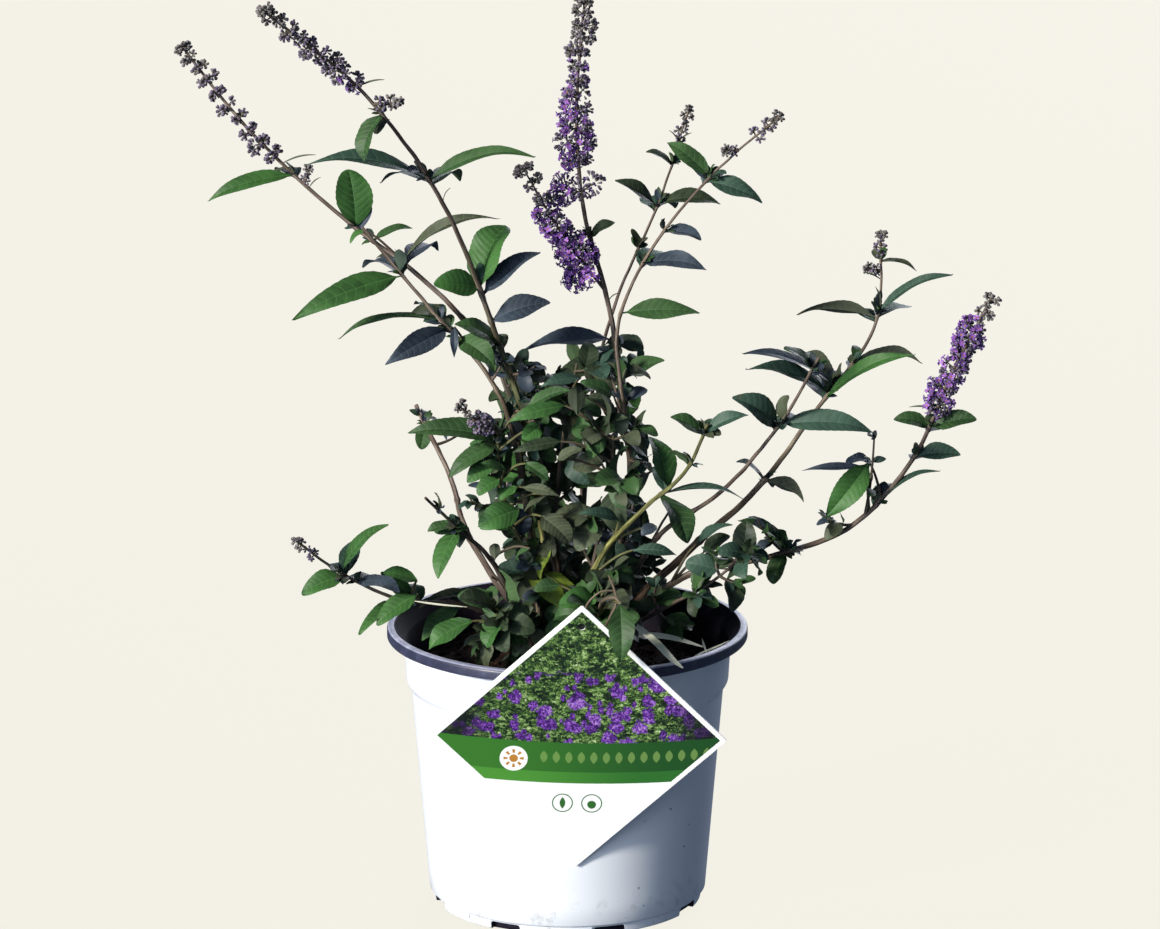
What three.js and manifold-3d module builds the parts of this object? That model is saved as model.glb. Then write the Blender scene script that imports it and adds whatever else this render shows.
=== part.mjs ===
// A butterfly bush in its three-litre nursery pot. Millimetres, +Z up.
// The origin is the centre of the pot's flat underside, and the tag hangs on the -Y side.

import * as THREE from 'three';
import { mergeVertices } from 'three/addons/utils/BufferGeometryUtils.js';
import Module from 'manifold-3d';

const wasm = await Module();
wasm.setup();

// ---- driving dimensions ----

const gap = 0.3;                     // air between neighbouring pieces
// The steps that a joined piece's points may be rounded to, the coarsest first.
const grids = [0.1, 0.09, 0.08, 0.07, 0.06, 0.05, 0.04, 0.03, 0.02, 0.01];
const touch = 0.0004;                // how near a corner may come to an edge that isn't its own

const pot = {
  height: 149, rimRadius: 95, rimTop: 93.6, mouthRadius: 90.4, lipDrop: 6,
  collarRadius: 86.3, collarDrop: 29, wallTop: 82.2, wallTopDrop: 35,
  stepRadius: 73.4, stepHeight: 6, footRadius: 71, wall: 1.6, floor: 7,
  sides: 28, notches: 8, notchWidth: 17, notchDepth: 9, notchHeight: 4.5,
};

const soil = { depth: 23, middle: 34, rise: 2 };

const tag = {
  side: 107, thick: 0.8, hole: 2, holeInset: 12, lean: 11.5, roll: 1.3, x: 6, y: -92.2, z: 114.4,
};

const clip = { width: 9, thick: 1.2, top: 178, reach: 81.4, drop: 10 };

const crown = { x: 0, y: -1, foot: 126.3, flare: 27, waist: 18, knuckle: 22, top: 157, lumps: 0.09 };

const leafShape = { broad: 0.62, slim: 0.28, slimming: 0.0065, arch: 0.09, keel: 0.15, stalk: 0.4 };
const sunk = 0.45;                   // how far off its stem's middle a leaf starts

// Each cane runs from the crown through its points. It has a radius at its foot and its tip, and
// is bare up to a share of its length. A leaf is [share, length, heading, lean, roll]: heading 0
// points right and 90 up as seen from the front, lean tips it forward, and roll turns its face
// forward. A spike is [from share, radius below, radius above, whorls], and a sprig or a side
// spike is [share, length, heading, lean], with the radii and whorls after it on a side spike.
const canes = [
  { name: 'upper_left', radius: [3, 0.8], bare: 0.51,
    points: [[-12, -3, 144], [-23, 2, 226], [-36, 12, 285], [-73, 22, 327], [-121, 34, 363],
      [-164, 46, 401], [-202, 60, 446]],
    leaves: [[0.55, 57, 30, 5, 30], [0.6, 22, 15, -20, 20], [0.63, 39, 95, 35, 0],
      [0.75, 47, 195, 15, 35]],
    spike: [0.79, 5.5, 3.5, 10], sideSpikes: [[0.73, 10, 70, 10, 2.5, 2, 2]] },
  { name: 'lower_left', radius: [2.4, 0.9], bare: 0.62,
    points: [[-13, -12, 144], [-23, -15, 227], [-37, -16, 280], [-71, -18, 323], [-105, -20, 365]],
    leaves: [[0.65, 26, 335, 35, 40], [0.68, 41, 205, 35, 50], [0.71, 54, 190, 0, 10],
      [0.85, 63, 195, 25, 45]] },
  { name: 'left_bloom', radius: [3, 0.8], bare: 0.33,
    points: [[-9, 6, 144], [-18, -3, 240], [-38, -21, 313], [-63, -42, 382], [-101, -67, 442],
      [-150, -95, 489]],
    leaves: [[0.37, 28, 145, 20, 40], [0.41, 32, 20, 10, 40], [0.45, 22, 170, 30, 60],
      [0.45, 37, 45, -15, 30], [0.46, 35, 65, -25, 0], [0.64, 57, 20, 15, 40],
      [0.64, 64, 170, 10, 40], [0.76, 25, 245, 20, 0]],
    spike: [0.82, 7, 4, 9], sideSpikes: [[0.78, 15, 10, 20, 4.5, 4, 3]] },
  { name: 'tall_bloom', radius: [3.2, 0.8], bare: 0.3,
    points: [[13, 8, 144], [34, 9, 213], [30, 11, 265], [21, 13, 319], [8, 15, 371], [5, 17, 424],
      [9, 20, 476]],
    leaves: [[0.31, 19, 305, 10, 40], [0.37, 19, 290, 40, 0], [0.38, 25, 25, 15, 40],
      [0.41, 43, 195, 25, 40], [0.44, 48, 185, 10, 30], [0.61, 15, 35, 10, 40]],
    spike: [0.62, 10, 4.5, 12], sideSpikes: [[0.52, 82, 122, 12, 9, 4, 8]] },
  { name: 'back_bud', radius: [2.2, 0.6], bare: 0.56,
    points: [[4, 17, 144], [9, 34, 209], [13, 54, 260], [27, 77, 309], [49, 102, 355], [66, 130, 402]],
    leaves: [[0.7, 11, 105, -10, 20], [0.79, 28, 145, 15, 35], [0.8, 33, 0, 5, 30],
      [0.88, 16, 150, 10, 20]],
    spike: [0.93, 4, 2.5, 4] },
  { name: 'front_bud', radius: [2.2, 0.6], bare: 0.49,
    points: [[12, -5, 144], [31, -12, 213], [30, -21, 264], [26, -32, 315], [44, -44, 360],
      [73, -57, 399], [107, -70, 432]],
    leaves: [[0.53, 40, 0, 10, 40], [0.63, 34, 0, 25, 35], [0.7, 20, 355, 20, 20],
      [0.82, 30, 340, 15, 40], [0.83, 28, 145, -15, 40]],
    spike: [0.94, 5, 3, 4], sideSpikes: [[0.9, 8, 175, 10, 3, 2.5, 2]] },
  { name: 'right_long', radius: [3.8, 0.6], bare: 0.36,
    points: [[20, 3, 144], [62, 10, 184], [101, 28, 216], [132, 48, 253], [164, 71, 294],
      [168, 95, 340]],
    leaves: [[0.42, 19, 140, 20, 20], [0.42, 23, 335, 15, -50], [0.63, 57, 35, 20, 45],
      [0.64, 54, 155, 25, 35], [0.66, 56, 155, 15, 30], [0.71, 37, 5, 0, -40],
      [0.82, 43, 175, 0, -40], [0.83, 45, 30, 10, 35], [0.94, 20, 345, 0, 10]],
    spike: [0.95, 4, 3, 3], sideSpikes: [[0.92, 9, 170, 10, 3, 2.5, 2]] },
  { name: 'right_thin', radius: [2.2, 0.8], bare: 0.52,
    points: [[20, -5, 144], [46, -14, 198], [80, -40, 231], [107, -71, 272], [126, -105, 316]],
    leaves: [[0.75, 31, 140, 20, 60], [0.76, 47, 0, 5, 45], [0.95, 10, 35, 20, 20],
      [0.96, 20, 140, 20, 30]] },
  { name: 'right_bloom', radius: [3, 0.9], bare: 0.28,
    points: [[17, -13, 144], [61, -17, 179], [106, -21, 191], [148, -25, 209], [179, -30, 246],
      [197, -35, 291], [217, -40, 333]],
    leaves: [[0.36, 17, 250, 30, 0], [0.37, 33, 145, 15, 30], [0.52, 41, 140, 15, 20],
      [0.56, 38, 35, 10, 15], [0.67, 23, 5, 10, 35], [0.73, 19, 160, 10, 40], [0.73, 24, 15, 10, 40]],
    spike: [0.76, 11, 4, 10], sprigs: [[0.36, 28, 125, 25], [0.53, 47, 86, 20], [0.5, 16, 160, 30]] },
  { name: 'green_fork', radius: [2.4, 0.9], bare: 0.5,
    points: [[-2, -18, 146], [18, -40, 197], [37, -59, 224], [59, -77, 249], [71, -95, 279]],
    leaves: [[0.62, 29, 305, 30, 0], [0.64, 40, 0, 10, 10], [0.66, 28, 110, -20, 0],
      [0.8, 13, 145, 10, -30], [0.95, 19, 150, 10, 40], [0.96, 24, 25, 10, 40]] },
  { name: 'left_cut', radius: [2.4, 1.3], bare: 0.7,
    points: [[-20, 6, 144], [-51, 29, 186], [-64, 58, 217], [-82, 90, 246]],
    leaves: [[0.9, 13, 255, 30, 30], [0.94, 10, 345, 10, 0]], sprigs: [[0.8, 18, 20, -30]] },
  { name: 'left_dark', radius: [2.4, 0.8], bare: 0.52,
    points: [[-20, -8, 144], [-38, -32, 190], [-55, -52, 213], [-72, -75, 236]],
    leaves: [[0.68, 29, 240, 35, 0], [0.71, 14, 185, 10, 30], [0.87, 10, 100, 10, 30]] },
  { name: 'low_left', radius: [2.2, 0.7], bare: 0.21,
    points: [[-12, -19, 144], [-52, -38, 169], [-84, -53, 176], [-113, -71, 194], [-138, -90, 218]],
    leaves: [[0.27, 30, 215, 35, 20], [0.46, 23, 135, 10, 50], [0.47, 35, 200, 40, 10],
      [0.7, 25, 0, 30, 20], [0.75, 24, 200, 15, 40], [0.77, 37, 50, 10, 30]],
    spike: [0.9, 3.5, 2.5, 3] },
  { name: 'inner_left', radius: [2, 0.9], bare: 0.3,
    points: [[-4, -10, 146], [-20, -21, 190], [-34, -28, 225], [-36, -34, 266]],
    leaves: [[0.5, 20, 170, 30, 30], [0.85, 21, 215, 25, 40], [0.9, 30, 210, 20, 30],
      [0.93, 46, 175, 10, 40]],
    sideSpikes: [[0.95, 26, 155, 30, 5, 3.5, 4]], sprigs: [[0.62, 20, 165, 30], [0.7, 18, 110, 20]] },
];

// A thicket is a stem with pairs of twigs in turn, each twig with pairs of leaves, and a leafy
// cane is one with leaf pairs on its own stem. size is the leaves' length below and above.
const thickets = [
  { name: 'centre_tall', radius: [2, 0.8], nodes: 5, twig: 23, size: [22, 23],
    points: [[0, 3, 144], [-6, 0, 195], [-3, -3, 245], [5, -4, 290]] },
  { name: 'centre_left', radius: [1.8, 0.7], nodes: 4, twig: 20, size: [22, 21],
    points: [[-2, 12, 146], [-10, 28, 190], [-20, 34, 232], [-24, 38, 262]] },
  { name: 'centre_right', radius: [1.8, 0.7], nodes: 4, twig: 20, size: [22, 21],
    points: [[6, -10, 146], [14, -24, 190], [22, -36, 228], [24, -44, 262]] },
  { name: 'front_low', radius: [1.8, 0.7], nodes: 3, twig: 20, size: [24, 22],
    points: [[8, -20, 144], [12, -44, 158], [16, -66, 172]] },
  { name: 'front_left_low', radius: [1.8, 0.7], nodes: 3, twig: 18, size: [24, 20],
    points: [[-5, -22, 142], [-22, -48, 156], [-38, -66, 166]] },
  { name: 'low_right', radius: [1.8, 0.7], nodes: 4, twig: 17, size: [18, 18],
    points: [[13, -20, 142], [50, -40, 168], [74, -48, 184], [92, -50, 200]] },
  { name: 'back_low', radius: [1.8, 0.7], nodes: 3, twig: 22, size: [26, 24],
    points: [[-6, 23, 142], [-12, 58, 166], [-14, 94, 182]] },
  { name: 'back_right_low', radius: [1.8, 0.7], nodes: 3, twig: 20, size: [26, 22],
    points: [[18, 12, 144], [40, 48, 172], [54, 82, 188]] },
];

const leafyCanes = [
  { name: 'rear_middle', radius: [2.2, 0.8], bare: 0.4, nodes: 5, size: [30, 22],
    points: [[4, 26, 142], [8, 66, 192], [6, 96, 228], [4, 122, 262]] },
  { name: 'rear_left', radius: [2.2, 0.8], bare: 0.35, nodes: 5, size: [30, 20],
    points: [[-14, 14, 144], [-26, 66, 178], [-33, 108, 200], [-36, 144, 226]] },
  { name: 'rear_right', radius: [2.2, 0.8], bare: 0.35, nodes: 5, size: [30, 20],
    points: [[11, 20, 142], [28, 68, 168], [36, 112, 180], [42, 152, 196]] },
];

// ---- solids from three.js geometry ----

const vec = (x, y, z) => new THREE.Vector3(x, y, z);
const rad = THREE.MathUtils.degToRad;

function solidOf(geometry) {
  geometry.deleteAttribute('normal');
  geometry.deleteAttribute('uv');
  const merged = mergeVertices(geometry, 1e-4);
  const index = merged.index.array;
  const kept = [];
  for (let i = 0; i < index.length; i += 3) {
    const [a, b, c] = [index[i], index[i + 1], index[i + 2]];
    if (a !== b && b !== c && c !== a) kept.push(a, b, c);
  }
  const mesh = { numProp: 3, vertProperties: new Float32Array(merged.attributes.position.array),
    triVerts: new Uint32Array(kept) };
  return new wasm.Manifold(new wasm.Mesh(mesh));
}

function geometryOf(solid) {
  const { vertProperties, triVerts } = solid.getMesh();
  const geometry = new THREE.BufferGeometry();
  geometry.setAttribute('position', new THREE.BufferAttribute(new Float32Array(vertProperties), 3));
  geometry.setIndex(new THREE.BufferAttribute(new Uint32Array(triVerts), 1));
  geometry.computeVertexNormals();
  return geometry;
}

// True where every edge of a solid joins just two faces and no other corner lies on it.
function isPlain(solid) {
  const { index, attributes } = mergeVertices(new THREE.BufferGeometry()
    .setAttribute('position', geometryOf(solid).toNonIndexed().attributes.position), 1e-3);
  const corners = Array.from({ length: attributes.position.count }, (_, i) => new THREE.Vector3()
    .fromBufferAttribute(attributes.position, i));
  const uses = new Map();
  for (let i = 0; i < index.count; i++) {
    const a = index.getX(i);
    const b = index.getX(i % 3 === 2 ? i - 2 : i + 1);
    const key = Math.min(a, b) * corners.length + Math.max(a, b);
    uses.set(key, (uses.get(key) ?? 0) + 1);
  }
  const nearest = new THREE.Vector3();
  return [...uses].every(([key, count]) => {
    const ends = [corners[Math.floor(key / corners.length)], corners[key % corners.length]];
    const edge = new THREE.Line3(...ends);
    return count === 2 && corners.every((corner) => ends.includes(corner)
      || edge.closestPointToPoint(corner, true, nearest).distanceTo(corner) > touch);
  });
}

// Joins the parts into one body. Points that nearly meet are brought together by rounding, on
// the coarsest grid that keeps the body plain, and any scrap that hangs loose is dropped.
function fuse(parts) {
  const joined = wasm.Manifold.union(parts);
  for (const grid of grids) {
    const rounded = bend(geometryOf(joined), (x, y, z) => vec(x, y, z)
      .divideScalar(grid).round().multiplyScalar(grid));
    const body = solidOf(rounded).decompose().reduce((a, b) => (a.volume() > b.volume() ? a : b));
    if (isPlain(body)) return body;
  }
  throw new Error('a joined piece meets itself along an edge');
}

// A profile of [radius, height] pairs, turned about the Z axis.
function turned(profile, sides) {
  const points = profile.map(([radius, height]) => new THREE.Vector2(radius, height));
  return new THREE.LatheGeometry(points, sides).rotateX(Math.PI / 2);
}

// Moves each point of a geometry to where place(x, y, z) puts it.
function bend(geometry, place) {
  const position = geometry.attributes.position;
  for (let i = 0; i < position.count; i++) {
    const p = place(position.getX(i), position.getY(i), position.getZ(i));
    position.setXYZ(i, p.x, p.y, p.z);
  }
  return geometry;
}

// ---- stems, leaves and blossom ----

const curveOf = (points) => new THREE.CatmullRomCurve3(points.map((p) => vec(...p)), false,
  'catmullrom', 0.5);

const radiusAt = (cane, share) => THREE.MathUtils.lerp(cane.radius[0], cane.radius[1], share ** 0.8);

// A closed skin over rings of points, each ring with the same number of them. It ends in a flat
// face, or in a tip where one is given. Rings run anticlockwise as seen from the far end.
function loft(rings, tip) {
  const sides = rings[0].length;
  const points = rings.flat();
  const faces = [];
  for (let k = 2; k < sides; k++) faces.push(0, k, k - 1);
  for (let i = 0; i + 1 < rings.length; i++) {
    for (let k = 0; k < sides; k++) {
      const [a, b] = [i * sides + k, i * sides + (k + 1) % sides];
      faces.push(a, b, b + sides, a, b + sides, a + sides);
    }
  }
  const last = (rings.length - 1) * sides;
  if (tip) {
    points.push(tip);
    for (let k = 0; k < sides; k++) faces.push(last + k, last + (k + 1) % sides, last + sides);
  } else {
    for (let k = 2; k < sides; k++) faces.push(last, last + k - 1, last + k);
  }
  return solidOf(new THREE.BufferGeometry().setFromPoints(points).setIndex(faces));
}

function ring(middle, across, side, radius, sides) {
  return Array.from({ length: sides }, (_, k) => {
    const turn = (k / sides) * 2 * Math.PI;
    return middle.clone().addScaledVector(across, radius * Math.cos(turn))
      .addScaledVector(side, radius * Math.sin(turn));
  });
}

// A tapering round limb along a curve, from one share of it to another. Its rings are turned on
// from each to the next, so it doesn't twist.
function limb(curve, from, to, radius, sides, steps) {
  let across = vec(1, 0.2, 0);
  const rings = [];
  for (let i = 0; i <= steps; i++) {
    const share = THREE.MathUtils.lerp(from, to, i / steps);
    const along = curve.getTangent(share).normalize();
    across = across.clone().addScaledVector(along, -across.dot(along)).normalize();
    rings.push(ring(curve.getPoint(share), across, along.clone().cross(across), radius(share), sides));
  }
  return loft(rings);
}

// A three-sided twig that runs out to a point.
function twig(root, direction, length, radius) {
  const across = upperFace(direction, 0);
  const side = direction.clone().cross(across);
  return loft([ring(root, across, side, radius, 3)], root.clone().addScaledVector(direction, length));
}

// The unit direction of a heading in the front plane and a lean towards the front.
function aim(heading, lean) {
  const flat = Math.cos(rad(lean));
  return vec(flat * Math.cos(rad(heading)), -Math.sin(rad(lean)), flat * Math.sin(rad(heading)));
}

// The way a leaf's upper face looks: as far up as its direction lets it, then rolled forward.
function upperFace(direction, roll) {
  const up = vec(0, 0, 1).addScaledVector(direction, -direction.z);
  if (up.length() < 0.05) up.set(0, -1, 0).addScaledVector(direction, direction.y);
  up.normalize();
  const side = up.clone().cross(direction);
  if (side.y > 0) side.negate();
  return up.multiplyScalar(Math.cos(rad(roll))).addScaledVector(side, Math.sin(rad(roll)));
}

const leafWidth = (length) => length * THREE.MathUtils.clamp(
  leafShape.broad - leafShape.slimming * length, leafShape.slim, leafShape.broad);

// A leaf with a keel below: its stalk starts inside the stem, and its blade is widest at the
// first of its rings. A long leaf has two rings and a short one has one. room makes it larger.
function leaf(root, direction, length, roll, room) {
  const up = upperFace(direction, roll);
  const side = up.clone().cross(direction);
  const stalk = leafShape.stalk + length / 150 + room;
  const foot = root.clone().addScaledVector(direction, sunk);
  const corner = (x, y) => foot.clone().addScaledVector(side, x * stalk).addScaledVector(up, y * stalk);
  const rings = [[corner(0.87, 0.5), corner(-0.87, 0.5), corner(0, -1)]];
  const stations = length > 27 ? [[0.3, 1], [0.66, 0.8]] : [[0.42, 1]];
  for (const [share, fullness] of stations) {
    const half = fullness * leafWidth(length) / 2 + room;
    const arch = leafShape.arch * length * 4 * share * (1 - share);
    const middle = root.clone().addScaledVector(direction, share * length).addScaledVector(up, arch);
    const edge = (x) => middle.clone().addScaledVector(side, x * half).addScaledVector(up, room);
    const keel = middle.clone().addScaledVector(up, -leafShape.keel * half - 0.3 - room);
    rings.push([edge(1), edge(-1), keel]);
  }
  return loft(rings, root.clone().addScaledVector(direction, length + room));
}

// A flower spike round a stem: a bulge for each whorl, full below and slight at the tip.
function spikeSolid(curve, from, [below, above, whorls], room) {
  const reach = curve.getLength();
  const rings = [];
  let across = vec(1, 0.2, 0);
  for (let i = 0; i < 2 * whorls; i++) {
    const height = i / (2 * whorls - 1);
    const share = THREE.MathUtils.lerp(from, 1 - 2 / reach, height);
    const along = curve.getTangent(share).normalize();
    across = across.clone().addScaledVector(along, -across.dot(along)).normalize();
    const radius = THREE.MathUtils.lerp(below, above, height) * (i % 2 ? 1 : 0.5);
    const side = along.clone().cross(across);
    rings.push(ring(curve.getPoint(share), across, side, radius + room, 5));
  }
  return loft(rings, curve.getPoint(1).addScaledVector(curve.getTangent(1), 1 + room));
}

// A repeatable draw of numbers from 0 to 1.
function dice(seed) {
  let state = seed;
  return () => {
    state = (state + 0x6d2b79f5) >>> 0;
    let t = state;
    t = Math.imul(t ^ (t >>> 15), t | 1);
    t ^= t + Math.imul(t ^ (t >>> 7), t | 61);
    return ((t ^ (t >>> 14)) >>> 0) / 4294967296;
  };
}

// ---- room: what is placed, and by whom ----

const taken = [];

function claim(owner, solid) {
  taken.push({ owner, solid, box: solid.boundingBox() });
}

function isFree(owner, solid) {
  const { min, max } = solid.boundingBox();
  return !taken.some((other) => other.owner !== owner
    && [0, 1, 2].every((k) => min[k] <= other.box.max[k] && max[k] >= other.box.min[k])
    && !solid.intersect(other.solid).isEmpty());
}

// Adds what make(room) gives to a mass if it is clear of every other owner's pieces.
function add(mass, make) {
  if (!isFree(mass.name, make(gap))) return false;
  const solid = make(0);
  mass.parts.push(solid);
  claim(mass.name, solid);
  return true;
}

// ---- the rules of growth ----

// The direction that stands off a stem by an angle, turned about it.
function offStem(along, turn, spread) {
  const across = upperFace(along, 0);
  const side = across.clone().cross(along);
  return along.clone().multiplyScalar(Math.cos(rad(spread)))
    .addScaledVector(across, Math.sin(rad(spread)) * Math.cos(turn))
    .addScaledVector(side, Math.sin(rad(spread)) * Math.sin(turn)).normalize();
}

function addLeaf(mass, root, direction, length, roll) {
  return add(mass, (room) => leaf(root, direction, length, roll, room));
}

function addMainLeaves(mass, cane, curve) {
  for (const [share, length, heading, lean, roll] of cane.leaves) {
    addLeaf(mass, curve.getPoint(share), aim(heading, lean), length, roll);
  }
}

// At each main leaf a smaller one turns to the back, and a young one stands beside the stem.
function addAxilLeaves(mass, cane, curve, draw) {
  const step = 3 / curve.getLength();
  for (const [share, length, heading] of cane.leaves) {
    const swing = (draw() - 0.5) * 60;
    const [tilt, turn, young] = [draw(), draw(), draw()];
    if (length < 23) continue;
    addLeaf(mass, curve.getPoint(share - step), aim(heading + swing, -50 - 20 * tilt), length * 0.72, 0);
    if (length < 35) continue;
    const direction = offStem(curve.getTangent(share), turn * 2 * Math.PI, 40);
    addLeaf(mass, curve.getPoint(share + step), direction, 9 + 5 * young, 20);
  }
}

function addSideSpike(mass, curve, [share, length, heading, lean, ...spike]) {
  const root = curve.getPoint(share);
  const tip = root.clone().addScaledVector(aim(heading, lean), length);
  const middle = root.clone().lerp(tip, 0.5).add(vec(0, 0, -length * 0.05));
  const stem = new THREE.CatmullRomCurve3([root, middle, tip], false, 'catmullrom', 0.5);
  add(mass, (room) => limb(stem, 0, 0.5, () => 1.1 + room, 3, 1));
  add(mass, (room) => spikeSolid(stem, 0.2, spike, room));
}

// A twig with pairs of leaves that turn a quarter from one to the next.
function addSprig(mass, root, direction, length, size, draw) {
  const placed = add(mass, (room) => twig(root, direction, length, 1.3 + room));
  if (!placed) return;
  [0.38, 0.72].forEach((share, i) => {
    for (const half of [0, 1]) {
      const turn = (half + 0.5 * i + 0.1 * draw()) * Math.PI;
      const at = root.clone().addScaledVector(direction, share * length);
      addLeaf(mass, at, offStem(direction, turn, 58), size * (0.85 + 0.3 * draw()), 25 * draw());
    }
  });
}

// Walks up a stem and calls visit at every node, with the turn of its pair.
function eachNode(stem, from, nodes, draw, visit) {
  for (let i = 0; i < nodes; i++) {
    const share = THREE.MathUtils.lerp(from, 0.97, i / (nodes - 1));
    const turn = (i % 2 ? 0.5 : 0) * Math.PI + 0.6 * (draw() - 0.5);
    for (const half of [0, 1]) visit(share, turn + half * Math.PI);
  }
}

// ---- pot, soil, tag and crown ----

function potGeometry() {
  const top = pot.height;
  const lip = top - pot.lipDrop;
  const profile = [
    [0, 0], [pot.footRadius, 0], [pot.footRadius + 0.6, pot.stepHeight - 1],
    [pot.stepRadius, pot.stepHeight], [pot.wallTop, top - pot.wallTopDrop],
    [pot.collarRadius - 1.8, top - pot.collarDrop], [pot.collarRadius, lip],
    [pot.rimRadius - 0.6, lip], [pot.rimRadius, lip + 1], [pot.rimRadius, top - 1.2],
    [pot.rimTop, top], [pot.mouthRadius, top], [pot.mouthRadius - 1, top - 1.5],
    [pot.collarRadius - pot.wall, lip - 2], [pot.collarRadius - 1.8 - pot.wall, top - pot.collarDrop],
    [pot.wallTop - pot.wall, top - pot.wallTopDrop - 1], [pot.stepRadius - pot.wall, pot.floor],
    [0, pot.floor],
  ];
  let body = solidOf(turned(profile, pot.sides));
  for (let i = 0; i < pot.notches; i++) {
    const notch = new THREE.BoxGeometry(pot.notchDepth, pot.notchWidth, pot.notchHeight);
    notch.translate(pot.footRadius + 1, 0, pot.notchHeight / 2 - 0.01);
    notch.rotateZ(((i + 0.4) / pot.notches) * 2 * Math.PI);
    body = body.subtract(solidOf(notch));
  }
  return geometryOf(body);
}

function soilGeometry() {
  const top = pot.height - soil.depth;
  const inner = pot.wall + gap + 0.1;
  const profile = [
    [0, pot.floor + gap], [pot.stepRadius - inner, pot.floor + gap],
    [pot.wallTop - inner, pot.height - pot.wallTopDrop - 1],
    [pot.collarRadius - 1.8 - inner, pot.height - pot.collarDrop],
    [pot.collarRadius - 1.4 - inner, top - soil.rise], [(pot.wallTop + soil.middle) / 2, top - 0.6],
    [soil.middle, top], [0, top],
  ];
  return geometryOf(solidOf(turned(profile, pot.sides)));
}

// The tag hangs on one corner, and leans back to the pot below.
function tagGeometry() {
  const half = tag.side / 2;
  const card = new THREE.Shape().moveTo(-half, -half).lineTo(half, -half).lineTo(half, half)
    .lineTo(-half, half).closePath();
  const corner = half - tag.holeInset / Math.SQRT2;
  card.holes.push(new THREE.Path().absarc(corner, corner, tag.hole, 0, 2 * Math.PI, true));
  const plate = new THREE.ExtrudeGeometry(card,
    { depth: tag.thick, bevelEnabled: false, curveSegments: 5 });
  plate.rotateZ(Math.PI / 4 - rad(tag.roll)).rotateX(Math.PI / 2 + rad(tag.lean));
  return plate.translate(tag.x, tag.y, tag.z);
}

// A bent strip that runs down the tag's back, over the rim and down inside the pot.
function clipGeometry() {
  const back = (z) => tag.y - (z - tag.z) * Math.tan(rad(tag.lean)) + gap + 0.05;
  const under = pot.height + gap + 0.1;
  const over = under + clip.thick;
  const foot = under - clip.drop;
  const strip = new THREE.Shape([
    [back(clip.top), clip.top], [back(under), under], [-clip.reach - clip.thick, under],
    [-clip.reach - clip.thick, foot], [-clip.reach, foot], [-clip.reach, over],
    [back(over) + clip.thick, over], [back(clip.top) + clip.thick, clip.top],
  ].map(([y, z]) => new THREE.Vector2(y, z)));
  const bar = new THREE.ExtrudeGeometry(strip, { depth: clip.width, bevelEnabled: false });
  bar.rotateX(Math.PI / 2).rotateZ(Math.PI / 2);
  return bar.translate(tag.x - clip.width / 2, 0, 0);
}

// The woody crown: a flat cut on the soil, a flared foot and a lumpy head where canes start.
function crownSolid(room) {
  const { foot, top } = crown;
  const profile = [
    [0, foot - room], [crown.flare + room, foot - room], [crown.waist + 4 + room, foot + 5],
    [crown.waist + room, foot + 13], [crown.knuckle + room, foot + 21],
    [crown.knuckle - 5 + room, top - 3 + room], [0, top + room],
  ];
  return solidOf(bend(turned(profile, 18), (x, y, z) => {
    const lump = 1 + crown.lumps * Math.sin(3 * Math.atan2(y, x) + z / 9);
    return vec(crown.x + x * lump, crown.y + y * lump, z);
  }));
}

// ---- assembly ----

const group = new THREE.Group();

function addMesh(name, geometry, color, roughness, metalness = 0) {
  const mesh = new THREE.Mesh(geometry, new THREE.MeshStandardMaterial({ color, roughness, metalness }));
  mesh.name = name;
  group.add(mesh);
  claim(name, solidOf(geometry.clone()));
}

addMesh('pot', potGeometry(), 0xe9ebee, 0.45);
addMesh('potting_soil', soilGeometry(), 0x2a211b, 1);
addMesh('plant_tag', tagGeometry(), 0xf4f4ef, 0.4);
addMesh('tag_clip', clipGeometry(), 0xf0f0ec, 0.5);
addMesh('root_crown', geometryOf(crownSolid(0)), 0x4a3a2c, 0.9);

// Every cane is bare up to where its leaves start, and its mass's stem goes on from there.
const crownRoom = crownSolid(gap);
const masses = [];

function addCane(cane, sides, steps) {
  const curve = curveOf(cane.points);
  const wood = limb(curve, 0, cane.bare, (s) => radiusAt(cane, s), sides, steps);
  addMesh(`cane_${cane.name}`, geometryOf(fuse([wood.subtract(crownRoom)])), 0x6a5f52, 0.85);
  const start = cane.bare + 1.5 * gap / curve.getLength();
  const mass = { name: `leaves_${cane.name}`, cane, curve, parts: [] };
  const stem = limb(curve, start, 1, (s) => radiusAt(cane, s), 3, Math.ceil((1 - cane.bare) * 8));
  mass.parts.push(stem);
  claim(mass.name, stem);
  masses.push(mass);
}

// A thicket's stem starts at the crown.
function addThicket(cane) {
  const curve = curveOf(cane.points);
  const mass = { name: `leaves_${cane.name}`, cane, curve, parts: [] };
  const stem = limb(curve, 0, 1, (s) => radiusAt(cane, s), 3, 4);
  mass.parts.push(fuse([stem.subtract(crownRoom)]));
  claim(mass.name, mass.parts[0]);
  masses.push(mass);
}

canes.forEach((cane) => addCane(cane, 5, 5));
leafyCanes.forEach((cane) => addCane(cane, 5, 4));
thickets.forEach(addThicket);

masses.forEach((mass, i) => {
  mass.draw = dice(101 + 7 * i);
  if (mass.cane.leaves) addMainLeaves(mass, mass.cane, mass.curve);
  const { spike, sideSpikes = [] } = mass.cane;
  if (spike) add(mass, (room) => spikeSolid(mass.curve, spike[0], spike.slice(1), room));
  sideSpikes.forEach((row) => addSideSpike(mass, mass.curve, row));
});

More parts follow.
